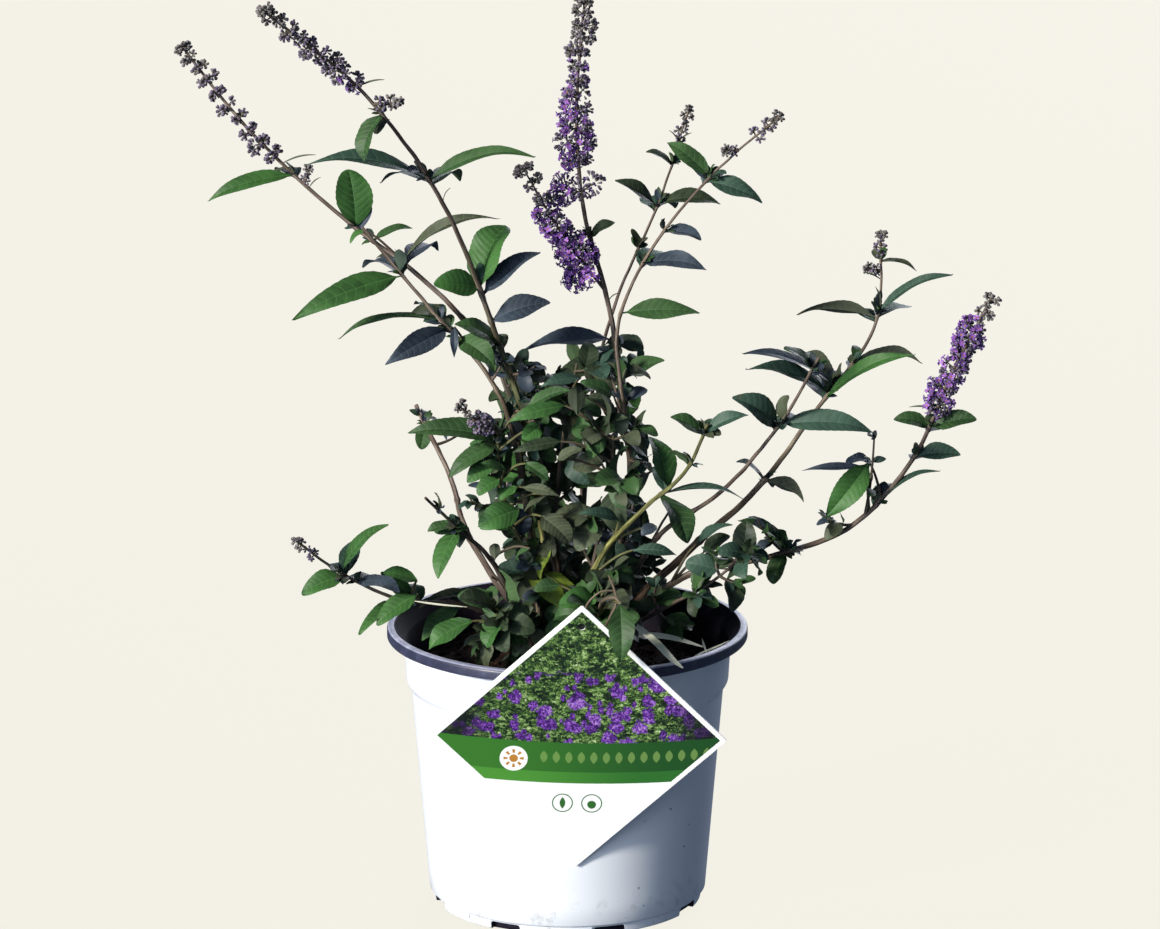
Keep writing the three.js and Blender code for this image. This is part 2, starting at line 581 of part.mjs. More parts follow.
for (const mass of masses) {
  const { cane, curve, draw } = mass;
  const size = (share) => THREE.MathUtils.lerp(...cane.size, share);
  if (cane.leaves) addAxilLeaves(mass, cane, curve, draw);
  for (const [share, length, heading, lean] of cane.sprigs ?? []) {
    addSprig(mass, curve.getPoint(share), aim(heading, lean), length, 13, draw);
  }
  if (cane.twig) {
    eachNode(curve, 0.3, cane.nodes, draw, (share, turn) => {
      const direction = offStem(curve.getTangent(share), turn, 62);
      const length = cane.twig * (1.1 - 0.5 * share);
      addSprig(mass, curve.getPoint(share), direction, length, size(share), draw);
    });
  } else if (cane.nodes) {
    eachNode(curve, cane.bare + 0.06, cane.nodes, draw, (share, turn) => {
      const direction = offStem(curve.getTangent(share), turn, 65);
      addLeaf(mass, curve.getPoint(share), direction, size(share), 20 * draw());
    });
  }
}

masses.forEach((mass) => addMesh(mass.name, geometryOf(fuse(mass.parts)), 0x2f5a38, 0.65));

export default group;
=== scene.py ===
# A butterfly bush in its nursery pot, +Z up, with the plant tag on the -Y side.
# Sizes in the tables are millimetres. Meshes are made in metres.
from math import atan2, copysign, cos, exp, hypot, pi, radians, sin, sqrt

import bpy
from mathutils import Matrix, Vector, noise


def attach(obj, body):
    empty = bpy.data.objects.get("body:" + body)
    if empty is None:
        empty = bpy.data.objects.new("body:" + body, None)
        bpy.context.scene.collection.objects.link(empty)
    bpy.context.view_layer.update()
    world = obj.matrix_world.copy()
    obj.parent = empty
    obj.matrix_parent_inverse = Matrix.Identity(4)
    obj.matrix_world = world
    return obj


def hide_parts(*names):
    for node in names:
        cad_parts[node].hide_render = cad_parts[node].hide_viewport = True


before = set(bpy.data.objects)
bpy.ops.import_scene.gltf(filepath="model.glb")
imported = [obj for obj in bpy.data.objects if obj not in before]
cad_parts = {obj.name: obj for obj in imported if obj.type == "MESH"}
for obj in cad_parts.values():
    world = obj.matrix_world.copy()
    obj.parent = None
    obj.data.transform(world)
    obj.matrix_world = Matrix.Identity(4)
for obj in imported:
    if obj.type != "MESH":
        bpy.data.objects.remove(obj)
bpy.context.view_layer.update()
mm = 0.001
print("frame loaded,", len(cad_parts), "nodes")


# small helpers

def lerp(low, high, share):
    return low + (high - low) * share


def clamp(value, low=0.0, high=1.0):
    return max(low, min(high, value))


def paint(code):
    # '#rrggbb' as the linear colour that sockets take
    channels = [int(code[i:i + 2], 16) / 255 for i in (1, 3, 5)]
    linear = [c / 12.92 if c <= 0.04045 else ((c + 0.055) / 1.055) ** 2.4 for c in channels]
    return (*linear, 1.0)


def dice(seed):
    # the same repeatable draw of numbers from 0 to 1 as the part's source has
    state = seed

    def draw():
        nonlocal state
        state = (state + 0x6D2B79F5) & 0xFFFFFFFF
        t = ((state ^ (state >> 15)) * (state | 1)) & 0xFFFFFFFF
        t ^= (t + (((t ^ (t >> 7)) * (t | 61)) & 0xFFFFFFFF)) & 0xFFFFFFFF
        return ((t ^ (t >> 14)) & 0xFFFFFFFF) / 4294967296

    return draw


def pick(sockets, key):
    if isinstance(key, int):
        return sockets[key]
    return next((s for s in sockets if s.identifier == key), None) or sockets[key]


class Wire:
    # a node's output that sums can be written with, each of which adds its Math node
    def __init__(self, board, socket):
        self.board, self.socket = board, socket

    def sum(self, operation, *values):
        return self.board.node("ShaderNodeMath", {"operation": operation}, dict(enumerate(values)))

    def __add__(self, other):
        return self.sum("ADD", self, other)

    __radd__ = __add__

    def __sub__(self, other):
        return self.sum("SUBTRACT", self, other)

    def __rsub__(self, other):
        return self.sum("SUBTRACT", other, self)

    def __mul__(self, other):
        return self.sum("MULTIPLY", self, other)

    __rmul__ = __mul__

    def __truediv__(self, other):
        return self.sum("DIVIDE", self, other)

    def __rtruediv__(self, other):
        return self.sum("DIVIDE", other, self)

    def __pow__(self, other):
        return self.sum("POWER", self, other)

    def __abs__(self):
        return self.of("ABSOLUTE")

    def __gt__(self, other):
        return self.sum("GREATER_THAN", self, other)

    def __lt__(self, other):
        return self.sum("LESS_THAN", self, other)

    def __or__(self, other):
        return self.sum("MAXIMUM", self, other)

    def of(self, operation):
        return self.sum(operation, self)

    def ease(self, low, high):
        return self.board.node("ShaderNodeMapRange", {"interpolation_type": "SMOOTHSTEP"},
                               {"Value": self, "From Min": low, "From Max": high})


class Board:
    # a node tree with one way to add a node: its settings first, then its sockets
    def __init__(self, tree):
        self.tree = tree

    def node(self, kind, settings=None, inputs=None, output=0):
        made = self.tree.nodes.new(kind)
        for key, value in (settings or {}).items():
            if key == "stops":
                self.fillRamp(made.color_ramp, value)
            else:
                setattr(made, key, value)
        for key, value in (inputs or {}).items():
            self.feed(pick(made.inputs, key), value)
        return Wire(self, pick(made.outputs, output))

    def feed(self, socket, value):
        if isinstance(value, Wire):
            self.tree.links.new(value.socket, socket)
        else:
            socket.default_value = value

    def fillRamp(self, ramp, stops):
        while len(ramp.elements) < len(stops):
            ramp.elements.new(0.5)
        for element, (place, colour) in zip(ramp.elements, stops):
            element.position, element.color = place, colour


class Finish(Board):
    # a material with its shader's steady values given by name
    def __init__(self, name, **steady):
        self.material = bpy.data.materials.new(name)
        self.material.use_nodes = True
        super().__init__(self.material.node_tree)
        self.shader = self.tree.nodes["Principled BSDF"]
        self.place = self.node("ShaderNodeTexCoord", output="Object")
        for key, value in steady.items():
            self.set(key, value)

    def set(self, key, value):
        names = {"colour": "Base Color", "roughness": "Roughness", "gloss": "Specular IOR Level",
                 "coat": "Coat Weight", "normal": "Normal"}
        self.feed(self.shader.inputs[names[key]], value)

    def mix(self, factor, *colours, blend="MIX"):
        first, second = (paint(c) if isinstance(c, str) else c for c in colours)
        return self.node("ShaderNodeMix", {"data_type": "RGBA", "blend_type": blend},
                         {"Factor_Float": factor, "A_Color": first, "B_Color": second}, "Result_Color")

    def noise(self, scale, detail=3.0, rough=0.5, vector=None, output="Fac"):
        return self.node("ShaderNodeTexNoise", None, {"Vector": vector or self.place,
                         "Scale": scale, "Detail": detail, "Roughness": rough}, output)

    def cells(self, scale, vector=None, output="Distance"):
        # a flat pattern where a vector is given, and a solid one where none is
        return self.node("ShaderNodeTexVoronoi", {"voronoi_dimensions": "2D" if vector else "3D"},
                         {"Vector": vector or self.place, "Scale": scale}, output)

    def attribute(self, name):
        return self.node("ShaderNodeAttribute", {"attribute_name": name}, output="Fac")

    def stretch(self, scales):
        return self.node("ShaderNodeVectorMath", {"operation": "MULTIPLY"}, {0: self.place, 1: scales})

    def join(self, x, y, z=0.0):
        return self.node("ShaderNodeCombineXYZ", None, {"X": x, "Y": y, "Z": z})

    def split(self, vector):
        return [self.node("ShaderNodeSeparateXYZ", None, {"Vector": vector}, k) for k in range(3)]

    def ramp(self, factor, *stops):
        # stops are (place, colour code)
        return self.node("ShaderNodeValToRGB", {"stops": [(at, paint(code)) for at, code in stops]},
                         {"Fac": factor})

    def bump(self, height, strength=0.3, distance=0.0004):
        self.set("normal", self.node("ShaderNodeBump", None, {"Height": height,
                 "Strength": strength, "Distance": distance}, "Normal"))


def bake(piece):
    # the mesh that a piece's modifiers or curve make, with the modifiers taken off
    depsgraph = bpy.context.evaluated_depsgraph_get()
    mesh = bpy.data.meshes.new_from_object(piece.evaluated_get(depsgraph), depsgraph=depsgraph)
    piece.modifiers.clear()
    return mesh


class Growth(Board):
    # a Geometry Nodes tree with named inputs and finishes, used on a piece and then applied
    def __init__(self, name, finishes, **inputs):
        super().__init__(bpy.data.node_groups.new(name, "GeometryNodeTree"))
        self.finishes = finishes
        face = self.tree.interface
        inputs = {"Geometry": "Geometry", **inputs, **{label: "Material" for label in finishes}}
        for label, kind in inputs.items():
            face.new_socket(label, in_out="INPUT", socket_type="NodeSocket" + kind)
        face.new_socket("Geometry", in_out="OUTPUT", socket_type="NodeSocketGeometry")
        self.entry = self.tree.nodes.new("NodeGroupInput")

    def given(self, label):
        return Wire(self, self.entry.outputs[label])

    def named(self, name, kind="FLOAT"):
        return self.node("GeometryNodeInputNamedAttribute", {"data_type": kind}, {"Name": name})

    def keep(self, geometry, name, value):
        return self.node("GeometryNodeStoreNamedAttribute", {"data_type": "FLOAT", "domain": "POINT"},
                         {"Geometry": geometry, "Name": name, "Value": value})

    def strew(self, points, kind, turn, size):
        # one of the shapes on each point, by the number of its kind
        shapes = self.node("GeometryNodeCollectionInfo", None, {
            "Collection": self.given("Shapes"), "Separate Children": True, "Reset Children": True})
        return self.node("GeometryNodeInstanceOnPoints", None, {
            "Points": points, "Instance": shapes, "Pick Instance": True, "Instance Index": kind,
            "Rotation": self.node("FunctionNodeEulerToRotation", None, {"Euler": turn}), "Scale": size})

    def close(self, geometry):
        # every face takes the finish that its 'finish' number names
        geometry = self.node("GeometryNodeRealizeInstances", None, {"Geometry": geometry})
        for number, label in enumerate(self.finishes):
            chosen = self.node("FunctionNodeCompare", {"data_type": "INT", "operation": "EQUAL"},
                               {"A_INT": self.named("finish", "INT"), "B_INT": number})
            geometry = self.node("GeometryNodeSetMaterial", None, {"Geometry": geometry,
                                 "Selection": chosen, "Material": self.given(label)})
        leave = self.tree.nodes.new("NodeGroupOutput")
        self.feed(leave.inputs["Geometry"], geometry)

    def grow(self, piece, values):
        modifier = piece.modifiers.new("growth", "NODES")
        modifier.node_group = self.tree
        for item in self.tree.interface.items_tree:
            if item.in_out == "INPUT" and item.name in values:
                value = values[item.name]
                modifier[item.identifier] = value.material if isinstance(value, Finish) else value
        bpy.context.collection.objects.link(piece)
        piece.data = bake(piece)
        piece.data.name = piece.name
        return piece


class Heap:
    # points and faces gathered for one piece, in millimetres, each face with its finish's number
    def __init__(self):
        self.points, self.faces, self.marks = [], [], []

    def add(self, points, faces, marks):
        start = len(self.points)
        self.points.extend(points)
        self.faces.extend([start + i for i in face] for face in faces)
        self.marks.extend(marks if isinstance(marks, list) else [marks] * len(faces))

    def mesh(self, name, scale=mm, sharp=0.9):
        mesh = bpy.data.meshes.new(name)
        mesh.from_pydata([p * scale for p in self.points], [], self.faces)
        mesh.shade_smooth()
        mesh.set_sharp_from_angle(angle=sharp)
        mesh.attributes.new("finish", "INT", "FACE").data.foreach_set("value", self.marks)
        return mesh

    def prism(self, low, high, mark):
        # a closed block between two outlines
        n = len(low)
        faces = [list(range(n))[::-1], list(range(n, 2 * n))]
        faces += [[i, (i + 1) % n, n + (i + 1) % n, n + i] for i in range(n)]
        self.add(low + high, faces, mark)

    def sleeve(self, rings, marks, tip=None):
        # a closed tube through rings of points, which ends flat or in a tip
        n, last = len(rings[0]), len(rings) - 1
        points = [p for ring in rings for p in ring]
        faces = [[i * n + k, i * n + (k + 1) % n, (i + 1) * n + (k + 1) % n, (i + 1) * n + k]
                 for i in range(last) for k in range(n)]
        kinds = [marks[i] for i in range(last) for _ in range(n)] + [marks[0]]
        faces.append(list(range(n))[::-1])
        if tip is None:
            faces.append([last * n + k for k in range(n)])
            kinds.append(marks[-1])
        else:
            faces += [[last * n + k, last * n + (k + 1) % n, len(points)] for k in range(n)]
            kinds += [marks[-1]] * n
            points.append(tip)
        self.add(points, faces, kinds)

    def piece(self, name, finishes, sharp=0.9):
        mesh = self.mesh(name, sharp=sharp)
        for finish in finishes:
            mesh.materials.append(finish.material)
        mesh.polygons.foreach_set("material_index", self.marks)
        piece = bpy.data.objects.new(name, mesh)
        bpy.context.collection.objects.link(piece)
        return piece


def repeated(name, seed, makers):
    # shapes that are kept only to be repeated, each from a maker of its own
    collection, draw = bpy.data.collections.new(name + "Shapes"), dice(seed)
    for number, maker in enumerate(makers):
        heap, label = Heap(), f"{name}{number}"
        maker(heap, number, draw)
        collection.objects.link(bpy.data.objects.new(label, heap.mesh(label, 1.0)))
    return collection


def settle(piece, slot, *nodes):
    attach(piece, "root")
    if nodes:
        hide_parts(*nodes)
    print(piece.name, len(piece.data.polygons), "faces")


def lathe(heap, profile, sides, marks, place=lambda p: p):
    # a profile of (radius, height) turned about Z, from the axis round to the axis again
    turns = [2 * pi * k / sides for k in range(sides)]
    rings, points = [], []
    for radius, height in profile:
        if radius == 0:
            rings.append([len(points)] * sides)
            points.append(place(Vector((0, 0, height))))
        else:
            rings.append([len(points) + k for k in range(sides)])
            points += [place(Vector((radius * cos(a), radius * sin(a), height))) for a in turns]
    faces, kinds = [], []
    for i in range(len(rings) - 1):
        for k in range(sides):
            m = (k + 1) % sides
            corners = [rings[i][k], rings[i][m], rings[i + 1][m], rings[i + 1][k]]
            faces.append(list(dict.fromkeys(corners)))
            kinds.append(marks[i] if isinstance(marks, list) else marks)
    heap.add(points, faces, kinds)


# finishes of the pot, the compost and the tag

def potWhite():
    finish = Finish("potWhite", gloss=0.45)
    cloud = finish.noise(9, 4, 0.6)
    streaks = finish.noise(4, 3, 0.6, finish.stretch((16, 16, 1.2)))
    specks = finish.cells(95) < (finish.noise(260, 1) - 0.44) * 0.42
    height = finish.split(finish.place)[2]
    stain = (0.035 - height).ease(0.0, 0.034) * finish.noise(120, 4, 0.7).ease(0.52, 0.7)
    colour = finish.mix(cloud, "#dce1e8", "#e6e9ed")
    colour = finish.mix(streaks.ease(0.5, 0.85) * 0.35, colour, "#c8ced8")
    colour = finish.mix(stain * 0.45, colour, "#8d8a86")  # soil that splashed up from below
    finish.set("colour", finish.mix(specks * 0.7, colour, "#565a63"))
    finish.set("roughness", 0.28 + cloud * 0.16)
    finish.bump(finish.noise(420, 2, 0.5), 0.12, 0.0002)
    return finish


def potDark(name, low, high, roughness, gloss=0.5):
    # the lip and the inside, with a film of dust. The rim's top ring has pale colours, a painted reflection
    finish = Finish(name, gloss=gloss)
    dust = finish.noise(150, 4, 0.65).ease(0.45, 0.8)
    finish.set("colour", finish.mix(dust * 0.8, low, high))
    finish.set("roughness", roughness + finish.noise(60, 2) * 0.2)
    finish.bump(finish.noise(600, 2), 0.1, 0.0002)
    return finish


def earth(name, low, middle, high):
    finish = Finish(name, roughness=0.95, gloss=0.15)
    grain = finish.noise(420, 4, 0.7)
    patch = finish.noise(45, 3, 0.6)
    colour = finish.mix(patch.ease(0.35, 0.7), low, middle)
    finish.set("colour", finish.mix(grain.ease(0.55, 0.8) * 0.6, colour, high))
    finish.bump(grain, 0.9, 0.0009)
    return finish


def plainSheet(name, low, high, scale, roughness, gloss, grain):
    # smooth plastic or card whose tone drifts a little. Grain is the bump's scale, strength and depth
    finish = Finish(name, roughness=roughness, gloss=gloss)
    finish.set("colour", finish.mix(finish.noise(scale, 3), low, high))
    finish.bump(finish.noise(grain[0], 2), *grain[1:])
    return finish


tagPrint = {
    # the card's breadth from corner to corner, its white edge, and the bands under the picture
    "span": 151.3, "border": 72.2, "bandTop": -3.0, "band": 17.0, "stripe": 6.5,
    # clusters of blossom in the picture: scale across and up, the share in flower, and their size
    "clusters": [(0.105, 0.07, 0.62, 0.30), (0.075, 0.095, 0.68, 0.34), (0.16, 0.12, 0.6, 0.26)],
    # the medal's place and radius, and where the two signs stand
    "medal": (-33, -12.5, 7.2), "signs": [(-7.5, -38), (7.5, -38)],
}


def cardPrint():
    finish = Finish("cardPrint", roughness=0.28, gloss=0.5)
    uv = finish.node("ShaderNodeUVMap", {"uv_map": "print"})
    u, v, _ = finish.split(uv)
    s = (u - 0.5) * tagPrint["span"]
    t = (v - 0.5) * tagPrint["span"]
    flat = finish.join(s, t)

    def disc(x, y, radius):
        return ((s - x) ** 2 + (t - y) ** 2) < radius * radius

    # a bed of leaves, lit in patches and dark between them
    ragged = finish.noise(0.16, 4, 0.65, flat)
    fine = finish.noise(1.3, 2, 0.6, flat)
    swirl = finish.split(finish.noise(0.45, 2, 0.5, flat, "Color"))
    bent = finish.join(s * 0.5 + swirl[0] * 4, t * 0.85 + swirl[1] * 4)
    leafy = finish.split(finish.cells(1.0, bent, "Color"))
    gap = finish.cells(1.0, bent).ease(0.2, 0.75)
    light = leafy[0] * 0.6 + (ragged - 0.5) * 1.3 + (fine - 0.5) * 0.9 + 0.1 - gap * 0.35
    picture = finish.ramp(light, (0.0, "#141d13"), (0.2, "#294022"), (0.45, "#557638"), (0.7, "#8fab68"),
                          (1.0, "#d5dcbf"))
    # clusters of blossom, each from a cell of a coarser pattern
    petals = finish.split(finish.cells(1.25, flat, "Color"))
    for number, (across, up, flowering, size) in enumerate(tagPrint["clusters"]):
        spread = finish.join(s * across + 7 * number, t * up + 3 * number)
        cell = finish.split(finish.cells(1.0, spread, "Color"))
        far = finish.cells(1.0, spread)
        inside = (far + (fine - 0.5) * 0.22 + (leafy[1] - 0.5) * 0.14 < size * (cell[1] * 0.5 + 0.6))
        shown = inside * (cell[0] > 1 - flowering) * (t + ragged * 16 < 45)
        tint = petals[1] * 0.7 + cell[2] * 0.35 - far * 0.5
        violet = finish.ramp(tint, (0.0, "#241140"), (0.35, "#4a2374"), (0.65, "#7a47ab"), (1.0, "#b992d2"))
        picture = finish.mix(shown, picture, violet)
    # deep shade above the bed and in the side corners, with a few lit leaves at the top
    lit = (ragged * 1.2 + fine * 0.5 - 0.3 + (t - 40) * 0.008).ease(0.42, 0.6)
    shade = (t + ragged * 16).ease(38, 50) * (1 - lit)
    picture = finish.mix(shade * 0.85, picture, "#16261a")
    corner = (abs(s) + ragged * 22).ease(54, 72)
    picture = finish.mix(corner * 0.85, picture, "#14161b")
    # bands below the picture, which sag a little, with a row of small leaves
    edge = s * s / 1100 + tagPrint["bandTop"]
    deep = finish.mix(s.ease(-60, 60), "#387428", "#1d4a1f")
    row = abs(((s + 200) / 6.4).of("FRACT") - 0.5)
    lens = ((t - edge + 8.5) / 4.6) ** 2 + row * 1.9 < 0.55
    deep = finish.mix(lens * (s > -20) * 0.55, deep, "#81a357")
    light = finish.mix(s.ease(-40, 40), "#4a8d33", "#2c6828")
    white = "#eff0ed"
    card = finish.mix(t > edge - tagPrint["band"] - tagPrint["stripe"], white, light)
    card = finish.mix(t > edge - tagPrint["band"], card, deep)
    card = finish.mix(t > edge, card, picture)
    # a white medal with a sun, and two small signs, a leaf and a drop, in the white field
    x, y, radius = tagPrint["medal"]
    card = finish.mix(disc(x, y, radius), card, white)
    turn = (t - y).sum("ARCTAN2", t - y, s - x)
    beam = (turn * 8).of("COSINE") > 0.35
    sun = disc(x, y, 2.2) | (disc(x, y, 5.2) * beam * (1 - disc(x, y, 3.1)))
    card = finish.mix(sun, card, "#b47c2f")
    green = "#30642a"
    for number, (x, y) in enumerate(tagPrint["signs"]):
        hoop = disc(x, y, 5.4) * (1 - disc(x, y, 4.8))
        rise = t - y
        if number:
            inner = ((s - x) / 2.3) ** 2 + ((rise + 0.5) / 2.6) ** 2 < 1 - rise.ease(-1, 4) * 0.8
        else:
            inner = abs(s - x) * 1.1 + (rise / 3.4) ** 2 * 1.6 < 1.6
        card = finish.mix(hoop | inner, card, green)
    card = finish.mix((abs(s) + abs(t)) > tagPrint["border"], card, white)
    finish.set("colour", card)
    finish.bump(finish.noise(900, 2), 0.05, 0.0001)
    return finish


# finishes of the plant

def barkFinish(name, streak=1.0):
    # the colour goes with the wood's age, from red-brown at 0 to fresh green at 1
    finish = Finish(name, roughness=0.7, gloss=0.3)
    age = finish.attribute("age")
    lines = finish.noise(1.0, 4, 0.65, finish.join(finish.attribute("around") * 9,
                         finish.attribute("along") * 70, age))
    wood = finish.ramp(age + (finish.noise(55, 3) - 0.5) * 0.22, (0.0, "#75503f"), (0.22, "#9b907c"),
                       (0.45, "#948778"), (0.68, "#7d7069"), (0.85, "#7d8358"), (1.0, "#a3a862"))
    dark = finish.mix(1.0, wood, "#8d827b", blend="MULTIPLY")
    shade = finish.mix(lines.ease(0.42, 0.7) * streak, dark, wood)
    finish.set("colour", finish.mix(lines.ease(0.62, 0.82) * 0.5, shade, "#a1988b"))
    finish.bump(lines, 0.35, 0.0003)
    return finish


leafTones = {
    # shaded and lit upper face, veins, and the under side
    # dark and slate are painted shade: dark is the leaf green darkened for leaves inside and at the back of
    # the bush, and slate is its bluish look in shade under the sky
    "fresh": ("#2a4823", "#3a632f", "#48733b", "#4a6340"),
    "deep": ("#263d22", "#37542e", "#44663b", "#425438"),
    "teal": ("#24392f", "#374f42", "#466150", "#414f43"),
    "slate": ("#222a34", "#3a4550", "#434f5a", "#434b4e"),
    "olive": ("#333a2a", "#4b5340", "#596149", "#4d5344"),
    "dark": ("#222b1e", "#35422e", "#425139", "#3c4435"),
    "lime": ("#4c5f1e", "#788f34", "#8d9d48", "#74824a"),
}


def leafFinish(tone, part):
    shaded, lit, vein, under = leafTones[tone]
    name = tone + part.capitalize() + "Leaf"
    finish = Finish(name, roughness=0.52 if part == "upper" else 0.65, gloss=0.24)
    grain = finish.noise(330, 3, 0.55)
    if part == "upper":
        wide = (finish.noise(38, 3, 0.55) * 0.7 + finish.noise(170, 2, 0.5) * 0.3).ease(0.32, 0.66)
        colour = finish.mix(wide, shaded, lit)
        colour = finish.mix(grain.ease(0.5, 0.8) * 0.1, colour, vein)
        blemish = finish.noise(120, 2, 0.4).ease(0.73, 0.8)
        finish.set("colour", finish.mix(blemish * 0.4, colour, "#4e3e2c"))
    else:
        base = vein if part == "vein" else under
        finish.set("colour", finish.mix(grain * 0.35, base, shaded))
    finish.bump(grain * 0.5 + finish.noise(210, 2, 0.5) * 0.7, 0.3, 0.0006)
    return finish


def petalFinish(name, low, high, tip):
    finish = Finish(name, roughness=0.55, gloss=0.25)
    # patches between low and high, and fine flecks of tip: on buds and petals these paint their shaded and
    # lit look, and highlights
    colour = finish.mix(finish.noise(160, 2).ease(0.3, 0.7), low, high)
    finish.set("colour", finish.mix(finish.noise(1400, 2).ease(0.5, 0.75) * 0.5, colour, tip))
    return finish


def strawFinish():
    finish = Finish("dryStraw", roughness=0.6, gloss=0.3)
    colour = finish.mix(finish.noise(60, 3).ease(0.3, 0.7), "#c8cdb2", "#e2e0cc")
    finish.set("colour", finish.mix(finish.noise(900, 3).ease(0.55, 0.8) * 0.5, colour, "#94936d"))
    finish.bump(finish.noise(1200, 2), 0.3, 0.0002)
    return finish


# pot

pot = {
    # radii, and drops below the top
    "height": 149, "rimRadius": 95, "mouthRadius": 90.4, "lipDrop": 6,
    "collarRadius": 86.3, "collarDrop": 29, "collarTaper": 1.2, "wallTop": 82.2, "wallTopDrop": 35,
    "stepRadius": 73.4, "stepHeight": 6, "footRadius": 71, "wall": 1.6, "floor": 7,
    "footRound": 0.8, "stepRound": 0.3, "lipRound": 0.9, "rimRound": 1.9, "mouthRound": 0.9, "sides": 144,
    # notches in the foot, and how far round the first one is
    "notches": 8, "firstNotch": 0.4, "notchWidth": 17, "notchDepth": 9, "notchHeight": 4.5,
    "notchCorner": (1.6, 0.5),
}


def arc(centre, radius, start, end, steps):
    # a rounded corner of a profile, in degrees
    turns = [radians(lerp(start, end, k / steps)) for k in range(steps + 1)]
    return [(centre[0] + radius * cos(a), centre[1] + radius * sin(a)) for a in turns]


def potProfile():
    # (finish, points) for each stretch, from the underside's middle round to the floor inside
    top, lip = pot["height"], pot["height"] - pot["lipDrop"]
    rim, mouth, collar, wall = pot["rimRadius"], pot["mouthRadius"], pot["collarRadius"], pot["wall"]
    foot, step, stepRise = pot["footRadius"], pot["stepRadius"], pot["stepHeight"]
    shoulder, shoulderRise = pot["wallTop"], top - pot["wallTopDrop"]
    collarFoot, collarRise = collar - pot["collarTaper"], top - pot["collarDrop"]
    footRound, stepRound, lipRound, rimRound, mouthRound = (
        pot[key + "Round"] for key in ("foot", "step", "lip", "rim", "mouth"))
    white, band, ring, inside = range(4)
    return [
        (white, [(0, 0), (foot - footRound, 0), *arc((foot - footRound, footRound), footRound, -90, 0, 3)]),
        (white, [(foot + 0.6, stepRise - 4 * stepRound), (step - 0.5, stepRise - stepRound),
                 (step, stepRise + stepRound)]),
        (white, [(lerp(step, shoulder, k / 10), lerp(stepRise + stepRound, shoulderRise, k / 10))
                 for k in range(1, 11)]),
        (white, [(lerp(shoulder, collarFoot, k / 8 - sin(k * pi / 4) / 2 / pi),
                  shoulderRise + k) for k in range(1, 9)]),
        (white, [(lerp(collarFoot, collar, k / 4), lerp(collarRise + 2.4, lip - 0.8, k / 4))
                 for k in range(1, 5)]),
        (band, [(collar + 0.5, lip - 0.1), (rim - 1.2, lip)]),
        (band, arc((rim - lipRound, lip + lipRound), lipRound, -80, 0, 4)),
        (band, [(rim, lip + 2.2), (rim, top - 2.4)]),
        (band, arc((rim - rimRound, top - rimRound), rimRound, 8, 40, 4)),
        # the rim's top ring: its pale finish is a painted reflection on the dark rim
        (ring, arc((rim - rimRound, top - rimRound), rimRound, 46, 90, 5)),
        (ring, [(mouth + mouthRound, top)]),
        (inside, arc((mouth + mouthRound, top - mouthRound), mouthRound, 100, 180, 3)),
        (inside, [(mouth - 0.6, top - 2.4), (collar - wall + 0.6, lip - 1.4), (collar - wall, lip - 2.4),
                  (collar - 1.8 - wall, collarRise), (shoulder - wall, shoulderRise - 1),
                  (step - wall, pot["floor"]), (0, pot["floor"])]),
    ]


def notchCutter(finishes):
    cutter = Heap()
    side, deep, high = pot["notchWidth"] / 2, pot["notchDepth"] / 2, pot["notchHeight"]
    corner, nick = pot["notchCorner"]
    arch = [(side, -2), (side, high - corner), (side - nick, high - nick), (side - corner, high)]
    outline = [(-side, -2)] + arch + [(-y, z) for y, z in arch[:0:-1]]
    for k in range(pot["notches"]):
        turn = Matrix.Rotation((k + pot["firstNotch"]) / pot["notches"] * 2 * pi, 3, "Z")
        low, high = ([turn @ Vector((pot["footRadius"] + 1 + x, y, z)) for y, z in outline]
                     for x in (-deep, deep))
        cutter.prism(low, high, len(finishes) - 1)
    return cutter.piece("notchKnife", finishes)


def makePot():
    stages = potProfile()
    heap = Heap()
    lathe(heap, [point for _, points in stages for point in points], pot["sides"],
          [mark for mark, points in stages for _ in points][1:])
    finishes = [potWhite(), potDark("rimNavy", "#2b2d43", "#484b64", 0.3),
                # the rim's top ring is painted pale lavender as a reflection of the sky on its dark gloss,
                # with a film of dust
                potDark("rimPale", "#8d90a8", "#bfc2d4", 0.3),
                potDark("potBlack", "#1b1722", "#332d3d", 0.7, gloss=0.15)]
    piece = heap.piece("potShell", finishes, sharp=0.7)
    knife = notchCutter(finishes)
    cut = piece.modifiers.new("notches", "BOOLEAN")
    cut.object, cut.operation, cut.solver = knife, "DIFFERENCE", "EXACT"
    piece.data = bake(piece)
    bpy.data.objects.remove(knife)
    settle(piece, "pot_shell", "pot")


makePot()


# compost

soil = {
    "top": 125.6, "radius": 82.4, "rings": 46, "sectors": 132, "skirt": 14, "taper": 0.965, "fall": 1.4,
    # how close and how high clods and crumbs stand
    "clods": (0.075, 1.7), "crumbs": (0.42, 2.0),
    # loose pieces for each square metre, and their smallest and largest size
    "scatter": 95000, "size": (1.1, 4.2),
}


def soilHeight(x, y):
    spot = Vector((x, y, 3.7))
    clodScale, clodHeight = soil["clods"]
    crumbScale, crumbHeight = soil["crumbs"]
    clods = noise.fractal(spot * clodScale, 0.9, 2.1, 4)
    crumbs = abs(noise.noise(spot * crumbScale)) + 0.5 * abs(noise.noise(spot * 0.9))
    fall = soil["fall"] * (hypot(x, y) / soil["radius"]) ** 2
    return soil["top"] + clodHeight * clods + crumbHeight * crumbs - fall


